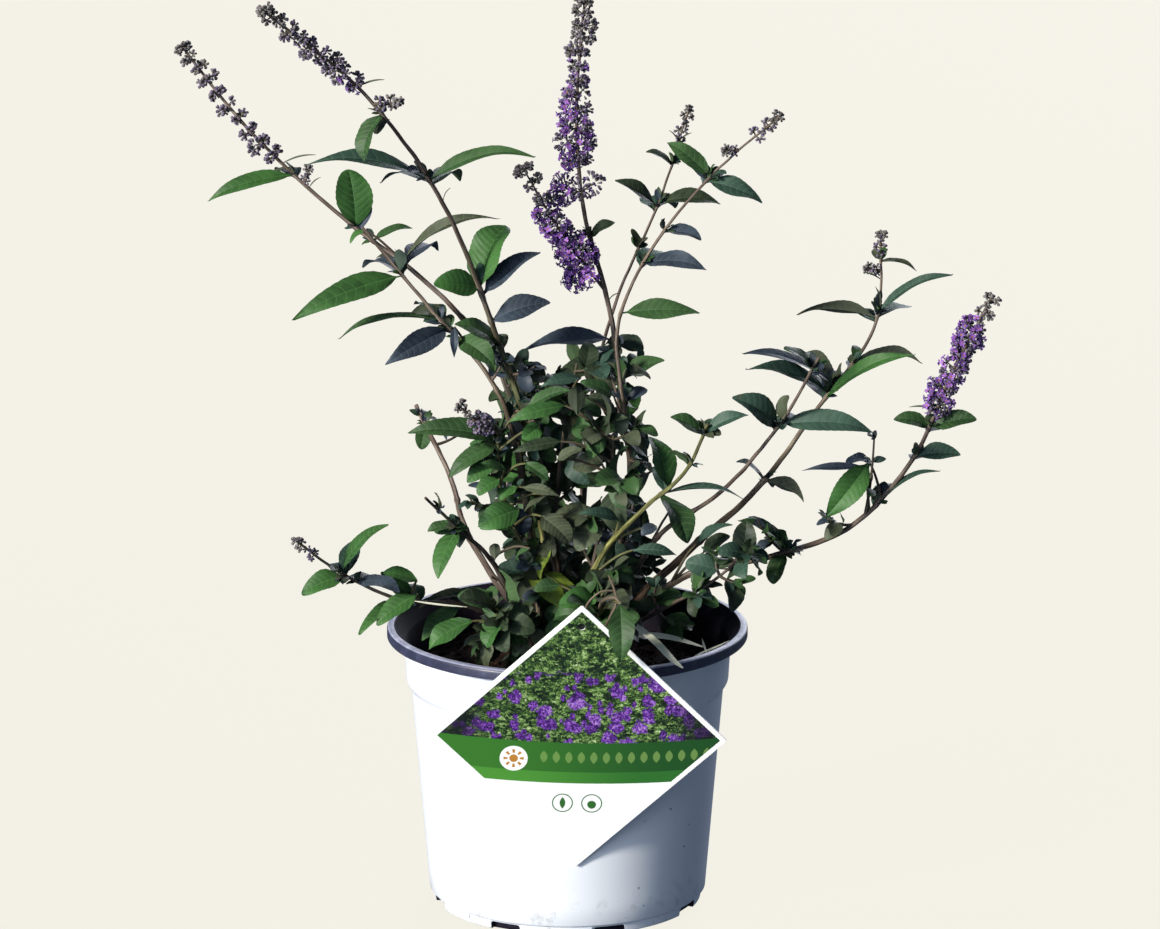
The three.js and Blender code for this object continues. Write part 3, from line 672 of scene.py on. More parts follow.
def makeSoil():
    rings, sectors = soil["rings"], soil["sectors"]
    points = [Vector((0, 0, soilHeight(0, 0)))]
    for i in range(1, rings + 1):
        radius = soil["radius"] * (i / rings) ** 0.9
        for k in range(sectors):
            turn = 2 * pi * (k + 0.5 * (i % 2)) / sectors
            x, y = radius * cos(turn), radius * sin(turn)
            points.append(Vector((x, y, soilHeight(x, y))))
    faces = [[0, 1 + k, 1 + (k + 1) % sectors] for k in range(sectors)]
    for i in range(rings - 1):
        for k in range(sectors):
            a, b = 1 + i * sectors + k, 1 + i * sectors + (k + 1) % sectors
            if i % 2:
                faces += [[a, a + sectors, b], [b, a + sectors, b + sectors]]
            else:
                faces += [[a, a + sectors, b + sectors], [a, b + sectors, b]]
    bed = Heap()
    bed.add(points, faces, 0)
    floor = bed.mesh("soilBed", sharp=3.1)
    skirt = [Vector((p.x * soil["taper"], p.y * soil["taper"], soil["top"] - soil["skirt"]))
             for p in points[-sectors:]]
    faces = [[k - sectors, k, (k + 1) % sectors, (k + 1) % sectors - sectors] for k in range(sectors)]
    bed.add(skirt, faces + [list(range(sectors))[::-1]], 0)
    compost = earth("compost", "#19110f", "#38261f", "#77594b")
    settle(bed.piece("soilBed", [compost], sharp=1.4), "potting_soil", "potting_soil")
    return floor, compost


def addClod(heap, number, draw):
    stretch = Vector((0.5, 0.36 + 0.12 * draw(), 0.3 + 0.1 * draw()))
    profile = [(0, -1), (0.75, -0.6), (1, 0.1), (0.7, 0.7), (0, 1)]
    lathe(heap, profile, 6, number % 2, lambda p: Vector([
        c * s * (0.8 + 0.4 * draw()) for c, s in zip(p, stretch)]))


def addChip(heap, number, draw):
    corners = [Vector((0.5 * cos(a), 0.24 * sin(a) * (0.7 + 0.6 * draw()), 0))
               for a in [k * pi / 3 for k in range(6)]]
    rise = Vector((0, 0, 0.06))
    heap.prism([c - rise for c in corners], [c * 0.93 + rise for c in corners], 2)


def addFibre(heap, number, draw):
    points, faces = [], []
    for i in range(5):
        middle = Vector((i / 4 - 0.5, 0.14 * sin(2.4 * i + number), 0.06 * (i % 2)))
        for k in range(3):
            turn = 2 * pi * k / 3
            points.append(middle + 0.022 * Vector((0, cos(turn), sin(turn))))
    for i in range(4):
        faces += [[3 * i + k, 3 * i + (k + 1) % 3, 3 * i + 3 + (k + 1) % 3, 3 * i + 3 + k][::-1]
                  for k in range(3)]
    heap.add(points, faces + [[0, 1, 2], [14, 13, 12]], 3)


# clods, flat chips and bent fibres, each a metre across
crumbMakers = [addClod] * 5 + [addChip] * 2 + [addFibre] * 2


def scatterTree():
    tree = Growth("scatter", ["Clod", "Dark clod", "Chip", "Fibre"], Shapes="Collection",
                  Density="Float", Seed="Int", Smallest="Float", Largest="Float")
    spots = tree.node("GeometryNodeDistributePointsOnFaces", None, {"Mesh": tree.given("Geometry"),
                      "Density": tree.given("Density"), "Seed": tree.given("Seed")})

    def chance(kind, low, high, offset, output):
        suffix = {"FLOAT": "_001", "INT": "_002", "FLOAT_VECTOR": ""}[kind]
        return tree.node("FunctionNodeRandomValue", {"data_type": kind}, {
            "Min" + suffix: low, "Max" + suffix: high, "Seed": offset}, output)

    size = chance("FLOAT", 0.0, 1.0, 3, 1)
    spread = tree.given("Largest") - tree.given("Smallest")
    turn = chance("FLOAT_VECTOR", (-0.5, -0.5, -3.14), (0.5, 0.5, 3.14), 4, 0)
    kind = chance("INT", 0, len(crumbMakers) - 1, 5, 2)
    tree.close(tree.strew(spots, kind, turn, tree.given("Smallest") + size * size * spread))
    return tree


def scatterCrumbs(floor, compost):
    piece = bpy.data.objects.new("soilCrumbs", floor)
    smallest, largest = soil["size"]
    scatterTree().grow(piece, {
        "Shapes": repeated("crumb", 41, crumbMakers), "Density": soil["scatter"], "Seed": 7,
        "Smallest": smallest * mm, "Largest": largest * mm, "Clod": compost,
        "Chip": earth("barkChips", "#4a3024", "#77533f", "#a07a60"),
        "Dark clod": earth("wetClods", "#100b0a", "#291d19", "#54423a"),
        "Fibre": earth("fibres", "#71553f", "#94745a", "#b39678")})
    settle(piece, "potting_soil")


scatterCrumbs(*makeSoil())


# tag and its clip

tag = {"side": 107, "thick": 0.8, "hole": 2, "holeInset": 12, "lean": 11.5, "roll": 1.3,
       "x": 6, "y": -92.2, "z": 114.4, "corner": 1.1, "edge": 0.12}


def makeTag():
    half = tag["side"] / 2
    outline = []
    for turn in range(4):
        centre = Matrix.Rotation(turn * pi / 2, 2) @ Vector((half - tag["corner"],) * 2)
        outline += arc(centre, tag["corner"], 90 * turn, 90 * turn + 90, 5)
    corner = half - tag["holeInset"] / sqrt(2)
    hole = arc((corner, corner), tag["hole"], 360, 0, 40)[:-1]
    curve = bpy.data.curves.new("tagCard", "CURVE")
    curve.dimensions, curve.fill_mode = "2D", "BOTH"
    curve.extrude = (tag["thick"] / 2 - tag["edge"]) * mm
    curve.bevel_depth, curve.bevel_resolution = tag["edge"] * mm, 1
    for loop in (outline, hole):
        spline = curve.splines.new("POLY")
        spline.points.add(len(loop) - 1)
        spline.use_cyclic_u = True
        for point, (x, y) in zip(spline.points, loop):
            point.co = (x * mm, y * mm, 0, 1)
    flat = bpy.data.objects.new("tagFlat", curve)
    bpy.context.collection.objects.link(flat)
    mesh = bake(flat)
    bpy.data.objects.remove(flat)
    turned = Matrix.Rotation(pi / 4 - radians(tag["roll"]), 4, "Z")
    upright = Matrix.Rotation(pi / 4, 4, "Z")
    uv = mesh.uv_layers.new(name="print")
    for loop in mesh.loops:
        spot = (upright @ mesh.vertices[loop.vertex_index].co) / mm / tagPrint["span"]
        uv.data[loop.index].uv = (spot.x + 0.5, spot.y + 0.5)
    for face in mesh.polygons:
        face.material_index = 1 if face.normal.z > 0.9 else 0  # only the front is printed
    back = plainSheet("cardWhite", "#e2e4e0", "#eeefec", 60, 0.35, 0.4, (900, 0.08, 0.0001))
    for finish in (back, cardPrint()):
        mesh.materials.append(finish.material)
    lift = Matrix.Translation((0, 0, tag["thick"] / 2 * mm))
    tip = Matrix.Rotation(pi / 2 + radians(tag["lean"]), 4, "X")
    place = Matrix.Translation((tag["x"] * mm, tag["y"] * mm, tag["z"] * mm))
    mesh.transform(place @ tip @ turned @ lift)
    piece = bpy.data.objects.new("tagCard", mesh)
    bpy.context.collection.objects.link(piece)
    settle(piece, "tag_card", "plant_tag")


makeTag()
# the clip is painted near-black green, as the shade seen through the tag's hole
clipPlastic = plainSheet("clipPlastic", "#0e1210", "#1d2320", 140, 0.4, 0.45, (500, 0.15, 0.0002))
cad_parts["tag_clip"].material_slots[0].material = clipPlastic.material


# root crown

crown = {
    # radius and height, from the flare on the compost up to the knuckle that the canes leave
    "profile": [(0, 124.5), (27, 124.5), (26, 127.5), (22, 131.3), (19.5, 135), (18, 139.3), (20, 143.5),
                (22, 147.3), (21, 150.5), (17, 154), (11, 156.2), (0, 157)],
    "x": 0, "y": -1, "lumps": 0.09, "ridges": 0.05, "knots": 0.05, "sides": 120, "between": 4,
}


def crownBark():
    finish = Finish("crownBark", roughness=0.85, gloss=0.2)
    grain = finish.noise(1.0, 5, 0.7, finish.stretch((420, 420, 110)))
    colour = finish.mix(finish.noise(70, 3).ease(0.3, 0.7), "#33221b", "#5b3d2f")
    finish.set("colour", finish.mix(grain.ease(0.5, 0.75) * 0.6, colour, "#86695a"))
    finish.bump(grain, 0.9, 0.0012)
    return finish


def makeCrown():
    profile, between = crown["profile"], crown["between"]
    fine = [profile[0]]
    for (r0, z0), (r1, z1) in zip(profile, profile[1:]):
        fine += [(lerp(r0, r1, k / between), lerp(z0, z1, k / between)) for k in range(1, between + 1)]

    def rough(point):
        turn = atan2(point.y, point.x)
        lump = 1 + crown["lumps"] * sin(3 * turn + point.z / 9)
        ridge = noise.fractal(Vector((4 * cos(turn), 4 * sin(turn), point.z * 0.09)), 0.8, 2.2, 4)
        knot = noise.noise(point * 0.13)
        swell = lump * (1 + crown["ridges"] * ridge + crown["knots"] * knot)
        return Vector((crown["x"] + point.x * swell, crown["y"] + point.y * swell, point.z + 0.5 * ridge))

    heap = Heap()
    lathe(heap, fine, crown["sides"], 0, rough)
    settle(heap.piece("rootCrown", [crownBark()], sharp=2.5), "crown_wood", "root_crown")


makeCrown()


# paths that canes, twigs and spikes follow

wood = {
    # how fast a cane thins, points along it, and its knots: their size, spread and how far apart they are
    "taper": 0.45, "step": 2.4, "knot": 0.3, "spread": 1.5, "knotEvery": 34, "slim": 0.9,
    # how often and how far a cane strays, and how much a twig sags
    "swayEvery": 0.07, "sway": 0.45, "sag": 0.06,
}


class Path:
    # a smooth line through points, which share runs along from 0 to 1
    def __init__(self, points):
        self.points = [Vector(p) for p in points]
        spots = [self.at(k / 200) for k in range(201)]
        self.reach = sum((b - a).length for a, b in zip(spots, spots[1:]))

    def at(self, share):
        points = self.points
        last = len(points) - 1
        step = min(int(share * last), last - 1)
        t = share * last - step
        p1, p2 = points[step], points[step + 1]
        p0 = points[step - 1] if step else 2 * p1 - p2
        p3 = points[step + 2] if step + 2 <= last else 2 * p2 - p1
        start, end = (p2 - p0) / 2, (p3 - p1) / 2
        return (p1 + start * t + (3 * (p2 - p1) - 2 * start - end) * t * t
                + (2 * (p1 - p2) + start + end) * t * t * t)

    def along(self, share):
        return (self.at(min(share + 1e-4, 1)) - self.at(max(share - 1e-4, 0))).normalized()


def radiusAt(row, share):
    return lerp(*row["radius"], share ** wood["taper"])


def aim(heading, lean):
    # heading turns from the right by way of straight up, and lean comes to the front
    flat = cos(radians(lean))
    return Vector((flat * cos(radians(heading)), -sin(radians(lean)),
                   flat * sin(radians(heading))))


def upperFace(direction, roll):
    # the way a leaf's upper side faces, rolled from up to the front
    up = Vector((0, 0, 1)) - direction * direction.z
    if up.length < 0.05:
        up = Vector((0, -1, 0)) + direction * direction.y
    up.normalize()
    side = up.cross(direction)
    if side.y > 0:
        side.negate()
    return up * cos(radians(roll)) + side * sin(radians(roll))


def offStem(along, turn, spread):
    # a direction that spreads from a stem, turned about it
    across = upperFace(along, 0)
    side = across.cross(along)
    spread = radians(spread)
    return (along * cos(spread) + across * sin(spread) * cos(turn)
            + side * sin(spread) * sin(turn)).normalized()


# Each cane runs from the crown through its points, and is bare up to a share of its length.
# Radius is at the foot and at the tip, and age is the wood's look there. A leaf is (share, length,
# heading, lean, roll, tone, how much wider than usual). A spike is (from share, radius below, radius
# above, whorls), a whorl on its own is (share, radius), a side spike is (share, length, heading,
# lean, radius below, radius above, whorls), and a sprig is (share, length, heading, lean).
canes = [
    {"name": "upper_left", "radius": (3, 0.8), "bare": 0.51, "age": (0.85, 0.5),
     "points": [(-12, -3, 144), (-23, 2, 226), (-36, 12, 285), (-73, 22, 327), (-121, 34, 363),
                (-164, 46, 401), (-202, 60, 446)],
     "leaves": [(0.55, 57, 30, 5, 25, "olive", 0.65), (0.6, 22, 15, -20, 20, "deep", 0.6),
                (0.63, 30, 95, -15, 0, "fresh", 1.75), (0.75, 47, 195, 15, 35, "fresh", 0.85)],
     "spike": (0.79, 8, 5.3, 8), "sideSpikes": [(0.73, 10, 70, 10, 2.5, 2, 2)]},
    {"name": "lower_left", "radius": (2.4, 0.9), "bare": 0.62, "age": (0.2, 0.5),
     "points": [(-13, -12, 144), (-23, -15, 227), (-37, -16, 280), (-71, -18, 323), (-105, -20, 365)],
     "leaves": [(0.65, 26, 335, 35, 40, "deep", 1.3), (0.68, 41, 205, 35, 50, "slate"),
                (0.71, 54, 190, 0, 10, "deep", 0.6), (0.85, 63, 195, 25, 45, "fresh", 0.95)]},
    {"name": "left_bloom", "radius": (3, 0.8), "bare": 0.33, "age": (1.0, 0.38),
     "points": [(-9, 6, 144), (-18, -3, 240), (-38, -21, 313), (-63, -42, 382), (-101, -67, 442),
                (-150, -95, 489)],
     "leaves": [(0.37, 28, 145, 20, 40, "deep", 1.2), (0.41, 32, 20, 10, 40, "slate", 1.45),
                (0.462, 26, 166, 30, 60, "fresh", 1.4), (0.45, 37, 38, -15, 30, "slate"),
                (0.46, 36, 68, -25, 0, "fresh", 1.75), (0.64, 57, 20, 15, 35, "deep", 0.75),
                (0.64, 64, 170, 10, 28, "teal", 0.72), (0.76, 25, 245, 20, 0, "deep", 1.1)],
     "spike": (0.82, 8.5, 4.2, 8), "sideSpikes": [(0.78, 15, 10, 20, 4.5, 4, 3)]},
    {"name": "tall_bloom", "radius": (3.2, 0.8), "bare": 0.3, "age": (0.42, 0.66),
     "points": [(13, 8, 144), (34, 9, 213), (30, 11, 265), (21, 13, 319), (8, 15, 371), (5, 17, 424),
                (9, 20, 476)],
     "leaves": [(0.31, 19, 305, 10, 40, "dark"), (0.37, 19, 290, 40, 0, "fresh", 1.4),
                (0.38, 25, 25, 15, 40, "deep"), (0.41, 43, 195, 25, 40, "dark"),
                (0.44, 48, 185, 10, 30, "slate"), (0.61, 15, 35, 10, 40, "dark")],
     "spike": (0.735, 12, 5.6, 10), "whorls": [(0.685, 14.5)],
     "sideSpikes": [(0.52, 82, 122, 12, 11.5, 5.5, 8)]},
    {"name": "back_bud", "radius": (2.2, 0.6), "bare": 0.56, "age": (0.6, 0.7),
     "points": [(4, 17, 144), (9, 34, 209), (13, 54, 260), (27, 77, 309), (49, 102, 355), (66, 130, 402)],
     "leaves": [(0.7, 11, 105, -10, 20, "dark"), (0.79, 28, 145, 15, 35, "dark"),
                (0.8, 33, 0, 5, 30, "dark"), (0.88, 16, 150, 10, 20, "dark")],
     "spike": (0.93, 4, 2.5, 4)},
    {"name": "front_bud", "radius": (2.2, 0.6), "bare": 0.49, "age": (0.45, 0.5),
     "points": [(12, -5, 144), (31, -12, 213), (30, -21, 264), (26, -32, 315), (44, -44, 360),
                (73, -57, 399), (107, -70, 432)],
     "leaves": [(0.53, 40, 0, 10, 40, "deep"), (0.63, 34, 0, 25, 35, "slate"),
                (0.7, 20, 355, 20, 20, "slate"), (0.82, 30, 340, 15, 40, "teal"),
                (0.83, 28, 145, -15, 40, "deep")],
     "spike": (0.94, 5, 3, 4), "sideSpikes": [(0.9, 8, 175, 10, 3, 2.5, 2)]},
    {"name": "right_long", "radius": (3.8, 0.6), "bare": 0.36, "age": (0.05, 0.5),
     "points": [(20, 3, 144), (62, 10, 184), (101, 28, 216), (132, 48, 253), (164, 71, 294),
                (168, 95, 340)],
     "leaves": [(0.42, 19, 140, 20, 20, "teal"), (0.42, 23, 335, 15, -50, "olive", 1.2),
                (0.63, 57, 35, 20, 40, "fresh", 0.75), (0.64, 54, 155, 25, 35, "teal"),
                (0.66, 56, 155, 15, 20, "slate", 0.85), (0.71, 37, 5, 0, -40, "olive"),
                (0.82, 43, 175, 0, -40, "olive"), (0.83, 45, 30, 10, 30, "teal", 0.6),
                (0.94, 20, 345, 0, 10, "olive", 0.5)],
     "spike": (0.95, 4, 3, 3), "sideSpikes": [(0.92, 9, 170, 10, 3, 2.5, 2)]},
    {"name": "right_thin", "radius": (2.2, 0.8), "bare": 0.52, "age": (0.66, 0.5),
     "points": [(20, -5, 144), (46, -14, 198), (80, -40, 231), (107, -71, 272), (126, -105, 316)],
     "leaves": [(0.75, 31, 140, 20, 60, "teal", 1.3), (0.76, 47, 0, 5, 45, "teal"),
                (0.95, 10, 35, 20, 20, "deep"), (0.96, 20, 140, 20, 30, "deep")]},
    {"name": "right_bloom", "radius": (3, 0.9), "bare": 0.28, "age": (0.3, 0.72),
     "points": [(17, -13, 144), (61, -17, 179), (106, -21, 191), (148, -25, 209), (179, -30, 246),
                (197, -35, 291), (217, -40, 333)],
     "leaves": [(0.36, 17, 250, 30, 0, "deep", 1.2), (0.37, 33, 145, 15, 30, "deep"),
                (0.56, 38, 35, 10, 15, "teal", 0.7),
                (0.67, 23, 5, 10, 35, "teal"), (0.73, 19, 160, 10, 40, "deep"),
                (0.73, 24, 15, 10, 40, "deep")],
     "spike": (0.76, 10, 4, 11), "sprigs": [(0.36, 28, 125, 25), (0.53, 47, 86, 20), (0.5, 16, 160, 30)]},
    {"name": "green_fork", "radius": (2.4, 0.9), "bare": 0.5, "age": (1.0, 0.86),
     "points": [(-2, -18, 146), (18, -40, 197), (37, -59, 224), (59, -77, 249), (71, -95, 279)],
     "leaves": [(0.62, 29, 305, 30, 0, "deep", 1.45), (0.64, 40, 0, 10, 10, "teal", 0.6),
                (0.66, 28, 110, -20, 0, "fresh", 1.45), (0.8, 13, 145, 10, -30, "deep"),
                (0.95, 19, 150, 10, 40, "deep"), (0.96, 24, 25, 10, 40, "teal", 0.8)]},
    {"name": "left_cut", "radius": (2.4, 1.3), "bare": 0.7, "age": (0.6, 0.55),
     "points": [(-20, 6, 144), (-51, 29, 186), (-64, 58, 217), (-82, 90, 246)],
     "leaves": [(0.9, 13, 255, 30, 30, "deep", 1.2), (0.94, 10, 345, 10, 0, "olive")],
     "sprigs": [(0.8, 18, 20, -30)]},
    {"name": "left_dark", "radius": (2.4, 0.8), "bare": 0.52, "age": (0.7, 0.7),
     "points": [(-20, -8, 144), (-38, -32, 190), (-55, -52, 213), (-72, -75, 236)],
     "leaves": [(0.68, 29, 240, 35, 0, "fresh", 1.15), (0.71, 14, 185, 10, 30, "deep"),
                (0.87, 10, 100, 10, 30, "olive")]},
    {"name": "low_left", "radius": (2.2, 0.7), "bare": 0.21, "age": (0.25, 0.8),
     "points": [(-12, -19, 144), (-52, -38, 169), (-84, -53, 176), (-113, -71, 194), (-138, -90, 218)],
     "leaves": [(0.27, 30, 215, 35, 20, "deep"), (0.46, 23, 135, 10, 50, "fresh"),
                (0.47, 35, 200, 40, 10, "fresh"), (0.7, 25, 0, 30, 20, "slate"),
                (0.75, 24, 200, 15, 40, "fresh"), (0.77, 37, 50, 10, 30, "fresh")],
     "spike": (0.9, 3.5, 2.5, 3)},
    {"name": "inner_left", "radius": (2, 0.9), "bare": 0.3, "age": (0.8, 0.85),
     "points": [(-4, -10, 146), (-20, -21, 190), (-34, -28, 225), (-36, -34, 266)],
     "leaves": [(0.5, 20, 170, 30, 30, "fresh"), (0.85, 21, 215, 25, 40, "fresh"),
                (0.9, 30, 210, 20, 30, "deep"), (0.93, 46, 175, 10, 40, "deep", 1.1)],
     "sideSpikes": [(0.96, 27, 142, 20, 6, 4, 4)], "sprigs": [(0.62, 20, 165, 30), (0.7, 18, 110, 20)]},
]

# A leafy cane has pairs of leaves on its own stem, and a thicket is a stem with pairs of twigs,
# each with pairs of leaves. Size is the leaves' length below and above, twig is the twigs' length,
# and more is how many finer sprigs stand between them.
# a row's tones are drawn at random from its list, in which dark and slate are painted shade
leafyCanes = [
    {"name": "rear_middle", "radius": (2.2, 0.8), "bare": 0.4, "nodes": 5, "size": (30, 22),
     "age": (0.4, 0.6), "tones": "deep slate teal",
     "points": [(4, 26, 142), (8, 66, 192), (6, 96, 228), (4, 122, 262)]},
    {"name": "rear_left", "radius": (2.2, 0.8), "bare": 0.35, "nodes": 5, "size": (30, 20),
     "age": (0.4, 0.6), "tones": "deep fresh slate",
     "points": [(-14, 14, 144), (-26, 66, 178), (-33, 108, 200), (-36, 144, 226)]},
    {"name": "rear_right", "radius": (2.2, 0.8), "bare": 0.35, "nodes": 5, "size": (30, 20),
     "age": (0.4, 0.6), "tones": "deep teal slate",
     "points": [(11, 20, 142), (28, 68, 168), (36, 112, 180), (42, 152, 196)]},
]

thickets = [
    {"name": "centre_tall", "more": 6, "radius": (2, 0.8), "nodes": 5, "twig": 23, "size": (22, 23),
     "age": (0.6, 0.75), "tones": "deep dark deep olive teal",
     "points": [(0, 3, 144), (-6, 0, 195), (-3, -3, 245), (5, -4, 290)]},
    {"name": "centre_left", "more": 6, "radius": (1.8, 0.7), "nodes": 4, "twig": 20, "size": (22, 21),
     "age": (0.6, 0.75), "tones": "dark deep fresh deep",
     "points": [(-2, 12, 146), (-10, 28, 190), (-20, 34, 232), (-24, 38, 262)]},
    {"name": "centre_right", "more": 3, "radius": (1.8, 0.7), "nodes": 4, "twig": 20, "size": (22, 21),
     "age": (0.6, 0.75), "tones": "dark deep olive deep",
     "points": [(6, -10, 146), (14, -24, 190), (22, -36, 228), (24, -44, 262)]},
    {"name": "front_low", "more": 8, "radius": (1.8, 0.7), "nodes": 3, "twig": 20, "size": (24, 22),
     "age": (0.8, 0.9), "tones": "deep deep olive fresh",
     "points": [(8, -20, 144), (12, -44, 158), (16, -66, 172)]},
    {"name": "front_left_low", "more": 4, "radius": (1.8, 0.7), "nodes": 3, "twig": 18, "size": (24, 20),
     "age": (0.8, 0.9), "tones": "deep dark olive dark",
     "points": [(-5, -22, 142), (-22, -48, 156), (-38, -66, 166)]},
    {"name": "low_right", "radius": (1.8, 0.7), "nodes": 4, "twig": 14, "size": (15, 17),
     "age": (0.5, 0.7), "tones": "dark teal deep deep",
     "points": [(13, -20, 142), (50, -40, 168), (74, -48, 184), (92, -50, 200)]},
    {"name": "back_low", "more": 16, "radius": (1.8, 0.7), "nodes": 3, "twig": 22, "size": (26, 24),
     "age": (0.6, 0.8), "tones": "deep slate dark",
     "points": [(-6, 23, 142), (-12, 58, 166), (-14, 94, 182)]},
    {"name": "back_right_low", "more": 14, "radius": (1.8, 0.7), "nodes": 3, "twig": 20, "size": (26, 22),
     "age": (0.6, 0.8), "tones": "deep slate dark",
     "points": [(18, 12, 144), (40, 48, 172), (54, 82, 188)]},
]


# room: spots already taken, by owner, in a coarse grid

room = {
    "cell": 6.0, "taken": {}, "margin": 0.5,
    # clear space over the compost, and before, behind and beside the tag
    "overSoil": 3, "beforeTag": 1.5, "behindTag": 2.5, "besideTag": 2,
}


def cellOf(point):
    return tuple(int(c // room["cell"]) for c in point)


def claim(owner, spots):
    # spots are (point, radius)
    for point, radius in spots:
        room["taken"].setdefault(cellOf(point), []).append((owner, point, radius))


def isFree(owner, spots):
    for point, radius in spots:
        if hitsPot(point, radius):
            return False
        x, y, z = cellOf(point)
        for dx in (-1, 0, 1):
            for dy in (-1, 0, 1):
                for dz in (-1, 0, 1):
                    for other, spot, reach in room["taken"].get((x + dx, y + dy, z + dz), ()):
                        if other != owner and (spot - point).length < reach + radius + room["margin"]:
                            return False
    return True


def hitsPot(point, radius):
    far = hypot(point.x, point.y)
    if point.z - radius < soil["top"] + room["overSoil"] and far < pot["rimRadius"]:
        return True
    if point.z - radius < pot["height"] and pot["wallTop"] < far < pot["rimRadius"] + radius:
        return True
    lean = radians(tag["lean"])
    away = point - Vector((tag["x"], tag["y"], tag["z"]))
    out = away.dot(Vector((0, -cos(lean), -sin(lean)))) - tag["thick"]
    rise = away.dot(Vector((0, -sin(lean), cos(lean))))
    corner = tag["side"] / sqrt(2) + room["besideTag"]
    return -room["behindTag"] < out < room["beforeTag"] and abs(away.x) + abs(rise) < corner


# leaves

leafShape = {
    # width over length at most and at least, what each millimetre of length takes off it, and how
    # much narrower again the long leaves are
    "broad": 0.62, "slim": 0.28, "slimming": 0.0065, "narrow": 0.86, "long": 25,
    # how fast a blade closes at its foot and its tip: at first, less by its breadth, at least
    "foot": (0.95, 0.7, 0.38), "tip": (1.55, 1.65, 0.55),
    # each leaf's own form, from and to
    "arch": (0.056, 0.12), "fold": (0.08, 0.38), "twist": (-0.35, 0.35), "bend": (-0.06, 0.06),
    "hook": (0.02, 0.11), "phase": (0, 6.28), "ripple": (0.03, 0.08),
    # the veins' forward sweep and half width, the rib's half width, the swelling between them
    "sweep": 0.5, "vein": 0.16, "rib": 0.24, "puff": 0.012, "thick": 0.28, "stalk": 0.55,
    # small leaves are repeated from this many shapes, of this width over length
    "kinds": 8, "small": (0.42, 0.7),
}


def leafWidth(length):
    slim, broad = leafShape["slim"], leafShape["broad"]
    share = clamp(broad - leafShape["slimming"] * length, slim, broad)
    return length * share * (leafShape["narrow"] if length > leafShape["long"] else 1)


def outline(share, broad):
    # half a blade's width along it: a short stalk, then widest before the middle, with a tip that is
    # drawn out on a slim leaf and rounder on a broad one
    s = (share - 0.06) / 0.94
    foot, tip = (max(least, start - loss * broad) for start, loss, least in
                 (leafShape["foot"], leafShape["tip"]))
    widest = foot / (foot + tip)
    return 0.0 if s <= 0 or s >= 1 else (s / widest) ** foot * ((1 - s) / (1 - widest)) ** tip


def rowsOf(veins, length):
    # rows across a blade: (share, puff between the veins, tooth on the margin, whether a vein follows)
    rows = [(0.0, 0, 0, 0), (0.03, 0, 0, 0), (0.065, 0, 0, 0)]
    if not veins:
        return rows[::2] + [(share, 0, 0, 0) for share in (0.2, 0.35, 0.51, 0.68, 0.84)]
    thin = leafShape["vein"] / length
    middles = [lerp(0.12, 0.87, (k / (veins - 1)) ** 0.92) for k in range(veins)]
    for middle, after in zip(middles, middles[1:] + [0.95 + thin]):
        gap = after - middle - 2 * thin
        rows += [(middle - thin, 0, 0.03, 1), (middle + thin, 0, 0.035, 0),
                 (middle + thin + gap * 0.33, 0.9, 0.0, 0), (middle + thin + gap * 0.68, 0.9, 0.03, 0)]
    return rows + [(0.965, 0.2, 0, 0)]


